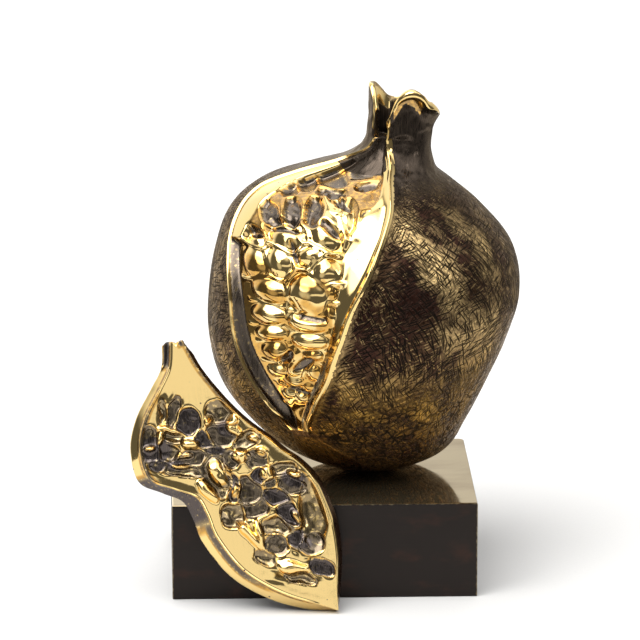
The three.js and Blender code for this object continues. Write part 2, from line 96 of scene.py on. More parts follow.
def linear(hex_colour: str) -> Colour:
    """Turn an sRGB hex colour into the linear colour that shaders take.

    Args:
        hex_colour: six hex digits, such as "e8c67c".

    Returns:
        Red, green, blue and alpha, each from 0 to 1.
    """
    shares = [int(hex_colour[i : i + 2], 16) / 255 for i in (0, 2, 4)]
    # The curve's numbers are the sRGB standard's own.
    flat = [s / 12.92 if s <= 0.04045 else ((s + 0.055) / 1.055) ** 2.4 for s in shares]
    return (flat[0], flat[1], flat[2], 1.0)


def wrapped_degrees(angles: Array) -> Array:
    """Turn angles in radians into degrees from -180 to 180."""
    return np.degrees((angles + np.pi) % (2 * np.pi) - np.pi)


def lerp(start: Array | float, end: Array | float, share: Array | float) -> Array | float:
    """Mix start and end by share."""
    return start + (end - start) * share


@dataclass(frozen=True)
class Step:
    """A smooth rise from 0 at low to amount at high."""

    low: Array | float
    high: Array | float
    amount: float = 1.0

    def at(self, value: Array | float) -> Array:
        """Give the rise at a value."""
        t = np.clip((value - self.low) / (self.high - self.low), 0, 1)
        return self.amount * (t * t * (3 - 2 * t))

    def before(self, value: Array | float) -> Array:
        """Give what is left of the amount at a value: the same curve, falling."""
        return self.amount - self.at(value)


@dataclass(frozen=True)
class Band:
    """A smooth rise from start to full and, farther on, a smooth fall from fading to end."""

    start: float
    full: float
    fading: float
    end: float

    def at(self, value: Array | float) -> Array:
        """Give 1 inside the band and 0 outside."""
        return Step(self.start, self.full).at(value) * Step(self.fading, self.end).before(value)


@dataclass(frozen=True)
class Bell:
    """A smooth hump as high as amount, with its half width where it has fallen to a third."""

    centre: float
    width: float
    amount: float = 1.0

    def at(self, value: Array | float) -> Array:
        """Give the hump's height at a value."""
        return self.amount * np.exp(-(((value - self.centre) / self.width) ** 2))


@dataclass(frozen=True)
class Waves:
    """Gentle random waves, the same in every run: rough width in millimetres, a shift, a height."""

    size: float
    shift: float
    amount: float = 1.0

    def at(self, points: Array) -> Array:
        """Give the waves' height at places.

        Args:
            points: places in millimetres, with x, y and z along the last axis.

        Returns:
            A value of about -amount to amount for each place.
        """
        flat = (points / self.size + self.shift).reshape(-1, 3)
        waves = np.array([noise.noise(Vector(place)) for place in flat])
        return self.amount * waves.reshape(points.shape[:-1])


def smooth_columns(table: Table, keys: Array | float) -> list[Array]:
    """Read smooth values from a table whose rows start with an ascending key.

    Args:
        table: rows of a key and its values.
        keys: where to read, in an array of any shape.

    Returns:
        One array for each value column, in the shape of keys.
    """
    rows = np.array(table, float)
    at = np.asarray(keys, float)
    last = len(rows) - 1
    first = np.clip(np.searchsorted(rows[:, 0], at) - 1, 0, last - 1)
    before, start = rows[np.maximum(first - 1, 0)], rows[first]
    end, after = rows[first + 1], rows[np.minimum(first + 2, last)]
    span = end[..., 0] - start[..., 0]
    t = np.clip((at - start[..., 0]) / span, 0, 1)
    columns = []
    for column in range(1, rows.shape[1]):
        a, b, c, d = (row[..., column] for row in (before, start, end, after))
        start_slope = span * (c - a) / (end[..., 0] - before[..., 0])
        end_slope = span * (d - b) / (after[..., 0] - start[..., 0])
        # A cubic Hermite curve: it meets each row's value with the slope between its neighbours.
        columns.append(
            (2 * t**3 - 3 * t**2 + 1) * b
            + (t**3 - 2 * t**2 + t) * start_slope
            + (3 * t**2 - 2 * t**3) * c
            + (t**3 - t**2) * end_slope
        )
    return columns


def softened(values: Array, times: int) -> Array:
    """Round off creases in a grid of values.

    Args:
        values: the grid.
        times: how often each value is averaged with its neighbours.

    Returns:
        The softened grid.
    """
    for _ in range(times):
        padded = np.pad(values, 1, mode="edge")
        across = 0.25 * padded[1:-1, :-2] + 0.5 * padded[1:-1, 1:-1] + 0.25 * padded[1:-1, 2:]
        along = 0.25 * padded[:-2, 1:-1] + 0.5 * padded[1:-1, 1:-1] + 0.25 * padded[2:, 1:-1]
        values = 0.5 * (across + along)
    return values


@dataclass(frozen=True)
class Mounds:
    """Rounded seeds or pits on a face: x, y, half width, half height, tilt, rise.

    A squareness of 2 makes ellipses, and a higher one makes rounded boxes. A low roundness makes
    steep sides and a flat top, and swell enlarges them all.
    """

    rows: Table
    roundness: float = 1.0
    squareness: float = 2.0
    swell: float = 1.0

    def shares(self, x: Array, y: Array) -> Array:
        """Give each mound's squared share of its radius at every place.

        Args:
            x: sideways places.
            y: upward places.

        Returns:
            0 at a mound's centre and 1 on its outline, with the mounds along the first axis.
        """
        shares = []
        for centre_x, centre_y, half_x, half_y, tilt, _ in self.rows:
            cos, sin = math.cos(math.radians(tilt)), math.sin(math.radians(tilt))
            across = np.abs((x - centre_x) * cos + (y - centre_y) * sin) / (half_x * self.swell)
            along = np.abs((y - centre_y) * cos - (x - centre_x) * sin) / (half_y * self.swell)
            power = self.squareness
            shares.append((across**power + along**power) ** (2 / power))
        return np.array(shares)

    def heights(self) -> Array:
        """Give each mound's full rise, or each pit's depth."""
        return np.array(self.rows, float)[:, -1]

    def rise(self, x: Array, y: Array) -> Array:
        """Give the height of the highest mound at every place."""
        inside = np.clip(1 - self.shares(x, y), 0, 1) ** self.roundness
        return (inside * self.heights().reshape(-1, *[1] * np.ndim(x))).max(axis=0)

    def nearest(self, x: Array, y: Array) -> tuple[Array, Array, Array]:
        """Find the nearest mound of every place.

        Args:
            x: sideways places.
            y: upward places.

        Returns:
            The nearest mound's number, the distance beyond its outline in millimetres, which is
            negative inside, and how much farther the next mound's outline is.
        """
        small = np.array([min(half_x, half_y) * self.swell for _, _, half_x, half_y, _, _ in self.rows])
        beyond = (np.sqrt(self.shares(x, y)) - 1) * small.reshape(-1, *[1] * np.ndim(x))
        order = np.argsort(beyond, axis=0)[:2]
        first, second = np.take_along_axis(beyond, order, axis=0)
        return order[0], first, second - first

    def cells(self, x: Array, y: Array, ridge: Step, reach: float) -> tuple[Array, Array]:
        """Give flat-bottomed cells round the mounds, with narrow ridges left between them.

        Args:
            x: sideways places.
            y: upward places.
            ridge: where a ridge's top ends and where its foot does, in millimetres.
            reach: how far a cell's wall spreads beyond the outline, in millimetres.

        Returns:
            Depth in millimetres, and 1 on a cell's floor and 0 outside.
        """
        number, beyond, farther = self.nearest(x, y)
        floor = ridge.at(farther) * Step(0, reach).before(beyond)
        return self.heights()[number] * floor, floor


@dataclass
class SkinGrid:
    """Rows of points of one closed casting, with what its finishes need to know at each point."""

    rings: list[Array] = field(default_factory=list)
    marks: dict[Mark, list[Array]] = field(default_factory=dict)

    def add(self, points: Array, marks: Marks) -> None:
        """Add rows of points.

        Args:
            points: places in millimetres, shaped (rows, columns, 3).
            marks: one value of each mark, or one a point.
        """
        self.rings.append(points)
        for mark, values in marks.items():
            self.marks.setdefault(mark, []).append(np.broadcast_to(values, points.shape[:2]))

    def to_object(self, name: str, finishes: list[Material]) -> bpy.types.Object:
        """Close the rows into one mesh object.

        Args:
            name: name of the new object.
            finishes: its two materials: a face gets the second where its polish is above a half.

        Returns:
            The object, smooth shaded, with each mark as a point attribute.
        """
        rows = np.concatenate(self.rings)
        count, size = rows.shape[:2]
        index = np.arange(count * size).reshape(count, size)
        a, b = index[:-1], np.roll(index, -1, axis=1)[:-1]
        c, d = np.roll(index, -1, axis=1)[1:], index[1:]
        quads = np.stack([a, b, c, d], axis=-1).reshape(-1, 4)
        ends = [rows[0].mean(axis=0), rows[-1].mean(axis=0)]
        points = np.concatenate([rows.reshape(-1, 3), ends])
        first, last = index[0], index[-1]
        foot = [[j, i, len(points) - 2] for i, j in zip(first, np.roll(first, -1))]
        top = [[i, j, len(points) - 1] for i, j in zip(last, np.roll(last, -1))]
        faces = quads.tolist() + foot + top
        if self.turned_inside_out(points, quads):
            faces = [face[::-1] for face in faces]
        mesh = bpy.data.meshes.new(name)
        mesh.from_pydata((points * MM).tolist(), [], faces)
        mesh.polygons.foreach_set("use_smooth", [True] * len(mesh.polygons))
        for finish in finishes:
            mesh.materials.append(finish)
        for mark, parts in self.marks.items():
            values = np.concatenate(parts).reshape(-1)
            values = np.append(values, [values[0], values[-1]]).astype(np.float32)
            mesh.attributes.new(mark.value, "FLOAT", "POINT").data.foreach_set("value", values)
            if mark is Mark.POLISH:
                shares = np.concatenate([values[corners].mean(axis=1) for corners in (quads, foot, top)])
                mesh.polygons.foreach_set("material_index", (shares > 0.5).astype(np.int32))
        mesh.update()
        piece = bpy.data.objects.new(name, mesh)
        bpy.context.scene.collection.objects.link(piece)
        return piece

    @staticmethod
    def turned_inside_out(points: Array, quads: Array) -> bool:
        """Tell whether the faces point inwards.

        Args:
            points: the mesh's points.
            quads: the four point numbers of each face.

        Returns:
            Whether the volume inside the faces comes out negative.
        """
        a, b, c, d = (points[quads[:, corner]] for corner in range(4))
        volume = np.einsum("ij,ij->i", a, np.cross(b, c)) + np.einsum("ij,ij->i", a, np.cross(c, d))
        return bool(volume.sum() < 0)


# ---- Finishes ----


class Nodes:
    """A material's node tree, opened with its principled shader."""

    def __init__(self, name: str) -> None:
        """Make the material.

        Args:
            name: the material's name.
        """
        self.material = bpy.data.materials.new(name)
        self.material.use_nodes = True
        self.tree = self.material.node_tree
        self.shader = self.tree.nodes["Principled BSDF"]

    @classmethod
    def over(cls, tree: bpy.types.NodeTree) -> "Nodes":
        """Open a node tree that is there already, and empty it.

        Args:
            tree: the node tree.

        Returns:
            The emptied tree, without a shader.
        """
        nodes = cls.__new__(cls)
        nodes.tree = tree
        tree.nodes.clear()
        return nodes

    def add(self, kind: str, inputs: dict | None = None, **settings: object) -> bpy.types.Node:
        """Add a node with its settings and links.

        Args:
            kind: the node's type, without its ShaderNode prefix.
            inputs: values or output sockets, by the input's name or number.
            settings: the node's own properties.

        Returns:
            The new node.
        """
        node = self.tree.nodes.new("ShaderNode" + kind)
        for key, value in settings.items():
            setattr(node, key, value)
        self.wire(node, inputs or {})
        return node

    def wire(self, node: bpy.types.Node, inputs: dict) -> None:
        """Set or link a node's inputs, given by name or number."""
        for key, value in inputs.items():
            if isinstance(value, Socket):
                self.tree.links.new(value, node.inputs[key])
            else:
                node.inputs[key].default_value = value

    def finish(self, inputs: dict) -> Material:
        """Wire the principled shader and give the finished material."""
        self.wire(self.shader, inputs)
        return self.material

    def maths(
        self, operation: str, first: object, second: object = 0.5, third: object = 0.5, clamp: bool = True
    ) -> Socket:
        """Combine two or three numbers.

        Args:
            operation: what to do with them.
            first: a number or a socket.
            second: a number or a socket.
            third: a number or a socket, which only MULTIPLY_ADD reads.
            clamp: whether the result is kept from 0 to 1.

        Returns:
            The result.
        """
        inputs = {0: first, 1: second, 2: third}
        return self.add("Math", inputs, operation=operation, use_clamp=clamp).outputs[0]

    def vector(self, operation: str, first: object, second: object) -> Socket:
        """Combine two vectors: into a number by DOT_PRODUCT, and otherwise into a vector."""
        node = self.add("VectorMath", {0: first, 1: second}, operation=operation)
        return node.outputs["Value" if operation == "DOT_PRODUCT" else "Vector"]

    def span(self, value: object, *ramp: float) -> Socket:
        """Map a range of values onto another, smoothly at both ends.

        Args:
            value: a number or a socket.
            ramp: low and high of the range, and the start and end that they are mapped onto.

        Returns:
            The mapped value.
        """
        inputs = dict(zip(("Value", "From Min", "From Max", "To Min", "To Max"), (value, *ramp)))
        return self.add("MapRange", inputs, interpolation_type="SMOOTHSTEP").outputs[0]

    def blend(self, share: object, first: object, second: object) -> Socket:
        """Mix two numbers by share."""
        return self.add("Mix", {0: share, 2: first, 3: second}).outputs[0]

    def tint(self, share: object, first: object, second: object) -> Socket:
        """Mix two colours by share."""
        return self.add("Mix", {0: share, 6: first, 7: second}, data_type="RGBA").outputs[2]

    def mark(self, mark: Mark) -> Socket:
        """Read a point attribute of the mesh."""
        return self.add("Attribute", attribute_name=mark.value).outputs["Fac"]

    def places(self) -> Socket:
        """Give the place on the object, in metres."""
        return self.add("TexCoord").outputs["Object"]

    def skin_places(self) -> Socket:
        """Give the place on the unrolled skin, in millimetres round and up."""
        return self.add("CombineXYZ", {"X": self.mark(Mark.AROUND), "Y": self.mark(Mark.UP)}).outputs[0]

    def stretched(self, place: object, size: Triple, turn: float) -> Socket:
        """Turn places back by an angle and divide them by a size, so that a cell has that size."""
        inputs = {"Vector": place, "Rotation": (0.0, 0.0, turn), "Scale": size}
        return self.add("Mapping", inputs, vector_type="TEXTURE").outputs[0]

    def grain(self, place: object, detail: float) -> Socket:
        """Give soft noise on places that are already divided by its size."""
        return self.add("TexNoise", {"Vector": place, "Scale": 1.0, "Detail": detail}).outputs["Fac"]

    def cloud(self, place: object, size: float, detail: float = 2.0) -> Socket:
        """Give soft noise whose blotches are about size millimetres wide."""
        inputs = {"Vector": place, "Scale": 1 / (size * MM), "Detail": detail, "Roughness": 0.55}
        return self.add("TexNoise", inputs).outputs["Fac"]

    def relief(self, height: object, depth: float, strength: float = 1.0) -> Socket:
        """Give the normal of a low relief whose height of 1 is depth millimetres."""
        inputs = {"Height": height, "Distance": depth * MM, "Strength": strength}
        return self.add("Bump", inputs).outputs[0]


@dataclass(frozen=True)
class PolishedBrass:
    """Cast brass, ground and buffed: a bright gold mirror, with smoky patina left in its hollows.

    The bare metal gives sharp reflections, thin tarnish turns it amber, and the hollows stay
    glossy and nearly black. Where a casting marks painted light as tarnish, the same amber and
    smoke draw painted reflections and painted shade.
    """

    name: str = "polished_cast_brass"
    bare: str = "f4d48e"
    amber: str = "d6a656"
    smoke: str = "5a524f"
    bare_gloss: Ramp = (0.4, 0.7, 0.05, 0.1)
    smoke_gloss: Ramp = (0.3, 0.7, 0.16, 0.34)
    smudge_size: float = 1.6
    smudge: Ramp = (0.25, 0.75, 0.0, 1.0)
    smoke_edge: Ramp = (0.62, 1.25, 0.0, 1.0)
    amber_start: Ramp = (0.05, 0.3, 0.0, 1.0)
    amber_end: Ramp = (0.55, 0.75, 0.0, 1.0)
    wave_size: float = 2.6
    wave_height: float = 0.02
    pore_spacing: float = 6.5
    pore_edge: Ramp = (0.045, 0.07, 1.0, 0.0)
    streak_size: Triple = (0.5, 14.0, 1.0)
    streak_turn: float = 0.12

    def build(self) -> Material:
        """Make the material.

        Returns:
            The finish, which reads the point attributes "tarnish", "around" and "up".
        """
        nodes = Nodes(self.name)
        place = nodes.places()
        # Smoke ends unevenly where buffing reached it, and stays even in the hollows.
        tarnish = nodes.mark(Mark.TARNISH)
        smudge = nodes.span(nodes.cloud(place, self.smudge_size, 4.0), *self.smudge)
        uneven = nodes.maths("ADD", tarnish, smudge, clamp=False)
        smoky = nodes.maths("MULTIPLY", nodes.span(uneven, *self.smoke_edge), tarnish)
        # Casting pores, drawn a little wider than the real ones so that they show.
        cells = nodes.add("TexVoronoi", {"Vector": place, "Scale": 1 / (self.pore_spacing * MM)})
        pores = nodes.span(cells.outputs["Distance"], *self.pore_edge)
        # Thin tarnish is amber, before it turns to smoke. Both also draw the painted reflections and
        # painted shade that the castings mark as tarnish.
        thick = nodes.span(tarnish, *self.amber_end)
        thin = nodes.maths("SUBTRACT", nodes.span(tarnish, *self.amber_start), thick)
        metal = nodes.tint(thin, linear(self.bare), linear(self.amber))
        # Buffing leaves faint streaks that run down the piece.
        streaks = nodes.grain(nodes.stretched(nodes.skin_places(), self.streak_size, self.streak_turn), 3.0)
        gloss = nodes.span(streaks, *self.bare_gloss)
        return nodes.finish(
            {
                "Base Color": nodes.tint(nodes.maths("MAXIMUM", smoky, pores), metal, linear(self.smoke)),
                "Metallic": 1.0,
                "Roughness": nodes.blend(smoky, gloss, nodes.span(streaks, *self.smoke_gloss)),
                "Normal": nodes.relief(nodes.cloud(place, self.wave_size), self.wave_height),
            }
        )


@dataclass(frozen=True)
class Strokes:
    """One family of scored lines: turn in degrees, length and width in millimetres, and patches.

    Where gaps is true it lies in the gaps of its set of patches instead of on them.
    """

    turn: float
    length: float
    width: float
    patches: Patches
    gaps: bool = False


@dataclass(frozen=True)
class ScoredPatina:
    """Brass under a brown liver-of-sulphur patina, scored all over and rubbed back on the high places.

    The patina is a dark waxed brown. The scored lines stay black, and between them the rubbed
    metal shows as dull gold. Low down the skin is wrinkled like leather. Some rubbed patches are
    painted highlights and painted reflections, and the rubbed gold low down is painted deeper as a
    painted reflection.
    """

    name: str = "scored_brown_patina"
    umber: str = "463323"
    rust: str = "38221b"
    soot: str = "453c34"
    rubbed_and_highlit: str = "d9ba82"
    rubbed_low_reflected_gold: str = "cc9f4c"
    line: str = "120d0a"
    edge_tint: str = "efe2d0"
    line_depth: float = 0.45
    relief_strength: float = 0.7
    line_share: float = 0.94
    patch_size: float = 17.0
    on_patch: Ramp = (0.43, 0.53, 0.0, 1.0)
    off_patch: Ramp = (0.57, 0.47, 0.0, 1.0)
    wander_size: float = 16.0
    wander: float = 2.0
    families: tuple[Strokes, ...] = (
        Strokes(-63, 24.0, 0.95, Patches.FIRST),
        Strokes(-50, 13.0, 0.95, Patches.SECOND, gaps=True),
        Strokes(12, 13.0, 1.0, Patches.THIRD),
        Strokes(50, 12.0, 0.95, Patches.SECOND),
        Strokes(-80, 11.0, 0.95, Patches.THIRD, gaps=True),
        Strokes(30, 9.0, 0.9, Patches.FIRST, gaps=True),
    )
    scored_edge: Ramp = (0.17, 0.31, 1.0, 0.0)
    glints: tuple[Strokes, ...] = (
        Strokes(-60, 8.0, 1.15, Patches.SECOND),
        Strokes(22, 7.0, 1.15, Patches.FIRST),
        Strokes(-30, 6.0, 1.1, Patches.THIRD, gaps=True),
    )
    glint_edge: Ramp = (0.08, 0.24, 1.0, 0.0)
    glint_share: float = 0.4
    # Wrinkles: where they start and are full, their patches, size, warp, and the crease's edge.
    wrinkled_below: Ramp = (70 * MM, 95 * MM, 1.0, 0.0)
    wrinkle_patch_size: float = 9.0
    wrinkle_patches: Ramp = (0.38, 0.56, 0.0, 1.0)
    wrinkle_size: float = 3.3
    warp_size: float = 2.2
    warp: float = 2.6
    crease_edge: Ramp = (0.04, 0.19, 1.0, 0.0)
    crease_depth: float = 1.2
    strokes_left: Ramp = (0.0, 1.0, 1.0, 0.45)
    worn_patch_size: float = 11.0
    worn_patches: Ramp = (0.46, 0.64, 0.0, 0.35)
    grain_size: float = 1.3
    grain: Ramp = (0.34, 0.6, 0.35, 1.0)
    blotch_size: float = 18.0
    blotches: Ramp = (0.42, 0.62, 0.0, 1.0)
    # The rubbed metal on the lower half is painted a deeper gold: a painted reflection of gold.
    gold_reflection_below: Ramp = (70 * MM, 110 * MM, 0.0, 1.0)
    sheen_size: Triple = (2.2, 9.0, 1.0)
    sheen_turn: float = 0.1
    sheen: Ramp = (0.35, 0.65, 0.16, 0.4)
    worn_roughness: float = 0.27
    line_roughness: float = 0.6
    patina_metallic: float = 0.85
    pit_size: float = 1.6
    dent_size: float = 5.5
    dent_height: float = 2.8

    def drawn(self, nodes: Nodes, families: tuple[Strokes, ...], edge: Ramp) -> Socket:
        """Draw families of strokes on the unrolled skin.

        Args:
            nodes: the material's nodes.
            families: the strokes to draw, each in its own patches.
            edge: where a stroke ends, in shares of its length and width from its middle.

        Returns:
            1 in a stroke and 0 beside it.
        """
        flat = nodes.skin_places()
        wander = nodes.add("TexNoise", {"Vector": flat, "Scale": 1 / self.wander_size, "Detail": 1.0})
        drift = nodes.vector("MULTIPLY", wander.outputs["Color"], (self.wander, self.wander, 0.0))
        bent = nodes.vector("ADD", flat, drift)
        patches = nodes.add("TexNoise", {"Vector": flat, "Scale": 1 / self.patch_size, "Detail": 0.0})
        split = nodes.add("SeparateColor", {"Color": patches.outputs["Color"]})
        lines: Socket | float = 0.0
        for strokes in families:
            cell = nodes.stretched(bent, (strokes.length, strokes.width, 1.0), math.radians(strokes.turn))
            cells = nodes.add("TexVoronoi", {"Vector": cell, "Scale": 1.0}, voronoi_dimensions="2D")
            stroke = nodes.span(cells.outputs["Distance"], *edge)
            ramp = self.off_patch if strokes.gaps else self.on_patch
            strength = nodes.span(split.outputs[strokes.patches.value], *ramp)
            lines = nodes.maths("MAXIMUM", nodes.maths("MULTIPLY", stroke, strength), lines)
        return nodes.maths("MULTIPLY", lines, nodes.mark(Mark.SCORING))

    def creased(self, nodes: Nodes, place: object, low: object) -> Socket:
        """Draw the creases between the wrinkles.

        Args:
            nodes: the material's nodes.
            place: the place on the object.
            low: how far the skin is wrinkled there.

        Returns:
            1 in a crease and 0 beside it.
        """
        warp = nodes.add("TexNoise", {"Vector": place, "Scale": 1 / (self.warp_size * MM), "Detail": 2.0})
        pulled = nodes.vector("MULTIPLY", warp.outputs["Color"], (self.warp * MM,) * 3)
        folds = nodes.add(
            "TexVoronoi",
            {"Vector": nodes.vector("ADD", place, pulled), "Scale": 1 / (self.wrinkle_size * MM)},
            feature="DISTANCE_TO_EDGE",
        )
        creases = nodes.span(folds.outputs["Distance"], *self.crease_edge)
        return nodes.maths("MULTIPLY", nodes.maths("MULTIPLY", creases, low), nodes.mark(Mark.SCORING))

    def build(self) -> Material:
        """Make the material.

        Returns:
            The finish, which reads the point attributes "scoring", "rubbing", "shade", "smooth",
            "around" and "up".
        """
        nodes = Nodes(self.name)
        place = nodes.places()
        scoring = nodes.mark(Mark.SCORING)
        rise = nodes.add("SeparateXYZ", {"Vector": place}).outputs["Z"]
        wrinkled = nodes.span(nodes.cloud(place, self.wrinkle_patch_size), *self.wrinkle_patches)
        low = nodes.maths("MULTIPLY", nodes.span(rise, *self.wrinkled_below), wrinkled)
        creases = self.creased(nodes, place, low)
        scored = self.drawn(nodes, self.families, self.scored_edge)
        scored = nodes.maths("MULTIPLY", scored, nodes.span(low, *self.strokes_left))
        scored = nodes.maths("MAXIMUM", scored, creases)
        # Rubbing wears the patina off in patches and leaves it between the grains of the casting. Some
        # of the rubbed patches that the fruit marks are painted highlights and painted reflections.
        worn = nodes.span(nodes.cloud(place, self.worn_patch_size, 3.0), *self.worn_patches)
        worn = nodes.maths("ADD", nodes.maths("MULTIPLY", worn, scoring), nodes.mark(Mark.RUBBING_AND_HIGHLIGHT))
        worn = nodes.maths("SUBTRACT", worn, nodes.mark(Mark.SHADE))
        grain = nodes.span(nodes.cloud(place, self.grain_size, 3.0), *self.grain)
        glint = nodes.maths("MULTIPLY", self.drawn(nodes, self.glints, self.glint_edge), self.glint_share)
        worn = nodes.maths("MAXIMUM", nodes.maths("MULTIPLY", worn, grain), glint)
        smooth = nodes.mark(Mark.SMOOTH)
        blotch = nodes.span(nodes.cloud(place, self.blotch_size, 3.0), *self.blotches)
        ground = nodes.tint(blotch, linear(self.umber), linear(self.rust))
        ground = nodes.tint(smooth, ground, linear(self.soot))
        # Lower down the rubbed metal takes a deeper gold, a painted reflection.
        bare = nodes.tint(nodes.span(rise, *self.gold_reflection_below), linear(self.rubbed_low_reflected_gold), linear(self.rubbed_and_highlit))
        metal = nodes.tint(worn, ground, bare)
        sheen = nodes.grain(nodes.stretched(nodes.skin_places(), self.sheen_size, self.sheen_turn), 3.0)
        rough = nodes.blend(worn, nodes.span(sheen, *self.sheen), self.worn_roughness)
        # Shallow dents on the smooth neck, fine pits elsewhere, and lines cut into both.
        dents = nodes.cloud(place, self.dent_size, 1.0)
        dents = nodes.maths("MULTIPLY", dents, self.dent_height, clamp=False)
        pitted = nodes.blend(smooth, nodes.cloud(place, self.pit_size, 3.0), dents)
        cut = nodes.maths("MULTIPLY_ADD", creases, self.crease_depth, scored, clamp=False)
        height = nodes.maths("SUBTRACT", pitted, cut, clamp=False)
        return nodes.finish(
            {
                "Base Color": nodes.tint(
                    nodes.maths("MULTIPLY", scored, self.line_share), metal, linear(self.line)
                ),
                "Metallic": nodes.blend(worn, self.patina_metallic, 1.0),
                "Roughness": nodes.blend(scored, rough, self.line_roughness),
                "Specular Tint": linear(self.edge_tint),
                "Normal": nodes.relief(height, self.line_depth, self.relief_strength),
            }
        )


@dataclass(frozen=True)
class BlockPatina:
    """Brass block: brown patina brushed on its sides, its top polished, its edges worn to metal.

    The top mirrors what stands on it, softly, through a thin brown film, and each edge draws a
    thin gold line.
    """

    half_width: float
    half_depth: float
    height: float
    name: str = "brushed_brown_block_patina"
    brown: str = "1e1713"
    red: str = "3c2317"
    bare: str = "e0cba0"
    film: str = "987a50"
    wear_width: float = 0.5
    ragged_size: float = 1.8
    ragged: Ramp = (0.3, 0.7, -0.15 * MM, 0.2 * MM)
    edge_share: float = 0.3
    facing_up: Ramp = (0.6, 0.9, 0.0, 1.0)
    brush_size: Triple = (22 * MM, 22 * MM, 0.5 * MM)
    scuff_size: Triple = (15 * MM, 15 * MM, 7 * MM)
    scuffs: Ramp = (0.52, 0.8, 0.0, 0.6)
    film_size: Triple = (34 * MM, 13 * MM, 9 * MM)
    film_turn: float = 0.1
    film_cover: Ramp = (0.35, 0.75, 0.0, 0.4)
    side_gloss: Ramp = (0.3, 0.7, 0.3, 0.44)
    top_gloss: Ramp = (0.3, 0.7, 0.05, 0.1)
    side_metallic: float = 0.6
    top_metallic: float = 0.96
    wave_size: float = 9.0
    wave_height: float = 0.02

    def edges(self, nodes: Nodes, place: Socket) -> Socket:
        """Find the block's edges: the places that are close to two of its faces.

        Args:
            nodes: the material's nodes.
            place: the place on the block.

        Returns:
            1 on an edge, fading raggedly to 0 beside it.
        """
        split = nodes.add("SeparateXYZ", {"Vector": place}).outputs
        ragged = nodes.span(nodes.cloud(place, self.ragged_size, 4.0), *self.ragged)
        across, deep = (nodes.maths("ABSOLUTE", split[axis], clamp=False) for axis in ("X", "Y"))
        close = []
        for reach, limit in ((across, self.half_width), (deep, self.half_depth), (split["Z"], self.height)):
            outward = nodes.maths("ADD", reach, ragged, clamp=False)
            close.append(nodes.span(outward, (limit - self.wear_width) * MM, limit * MM, 0.0, 1.0))
        pairs = [nodes.maths("MULTIPLY", close[i], close[j]) for i, j in ((0, 1), (0, 2), (1, 2))]
        return nodes.maths("MAXIMUM", nodes.maths("MAXIMUM", pairs[0], pairs[1]), pairs[2])

    def build(self) -> Material:
        """Make the material.

        Returns:
            The finish, worked out from the place on the block.
        """
        nodes = Nodes(self.name)
        place = nodes.places()
        facing = nodes.add("NewGeometry").outputs["Normal"]
        top = nodes.span(nodes.add("SeparateXYZ", {"Vector": facing}).outputs["Z"], *self.facing_up)
        edge = nodes.maths("MULTIPLY", self.edges(nodes, place), self.edge_share)
        bare = nodes.maths("MAXIMUM", top, edge)
        brushed = nodes.grain(nodes.stretched(place, self.brush_size, 0.0), 3.0)
        scuffs = nodes.grain(nodes.stretched(place, self.scuff_size, 0.0), 3.0)
        side = nodes.tint(nodes.span(scuffs, *self.scuffs), linear(self.brown), linear(self.red))
        # A thin brown film is left on the polished top, in soft clouds.
        clouds = nodes.grain(nodes.stretched(place, self.film_size, self.film_turn), 3.0)
        filmed = nodes.tint(nodes.span(clouds, *self.film_cover), linear(self.bare), linear(self.film))
        dull = nodes.span(brushed, *self.side_gloss)
        waves = nodes.maths("ADD", nodes.cloud(place, self.wave_size), brushed, clamp=False)
        return nodes.finish(
            {
                "Base Color": nodes.tint(bare, side, filmed),
                "Metallic": nodes.blend(bare, self.side_metallic, self.top_metallic),
                "Roughness": nodes.blend(top, dull, nodes.span(brushed, *self.top_gloss)),
                "Normal": nodes.relief(waves, self.wave_height),
            }
        )


@dataclass(frozen=True)
class TurnedMetal:
    """A machined fastener's metal: fine rings left by the lathe over a plated or bare ground."""

    name: str
    ground: str
    shade: str
    gloss: Ramp
    stain_size: float = 2.0
    ring_size: Triple = (6 * MM, 6 * MM, 0.35 * MM)
    ring_depth: float = 0.03
    ring_strength: float = 0.6

    def build(self) -> Material:
        """Make the material.

        Returns:
            The finish.
        """
        nodes = Nodes(self.name)
        place = nodes.places()
        rings = nodes.grain(nodes.stretched(place, self.ring_size, 0.0), 2.0)
        stains = nodes.cloud(place, self.stain_size, 3.0)
        return nodes.finish(
            {
                "Base Color": nodes.tint(stains, linear(self.ground), linear(self.shade)),
                "Metallic": 1.0,
                "Roughness": nodes.span(rings, *self.gloss),
                "Normal": nodes.relief(rings, self.ring_depth, self.ring_strength),
            }
        )


@dataclass(frozen=True)
class MattPaper:
    """Heavy matt paper under the piece: pale grey and even, with faintly mottled fibres."""

    name: str = "matt_background_paper"
    pale: str = "d2d1cf"
    fibre: str = "d7d6d4"
    fibre_size: float = 1.2
    roughness: float = 0.9

    def build(self) -> Material:
        """Make the material.

        Returns:
            The finish.
        """
        nodes = Nodes(self.name)
        fibres = nodes.cloud(nodes.places(), self.fibre_size)
        colour = nodes.tint(fibres, linear(self.pale), linear(self.fibre))
        return nodes.finish({"Base Color": colour, "Roughness": self.roughness})


# ---- The fruit ----


@dataclass(frozen=True)
class SkinPlaces:
    """Where the points of the fruit's body lie, in grids of one value or place for each point.

    Heights are above the fruit's foot. Angles turn about its axis, 0 at the front and positive to
    the right, with angle in radians and around in degrees from -180 to 180. Distances from the
    cut's lips are measured into the cut.
    """

    angle: Array
    around: Array
    height: Array
    from_left: Array
    from_right: Array
    place: Array


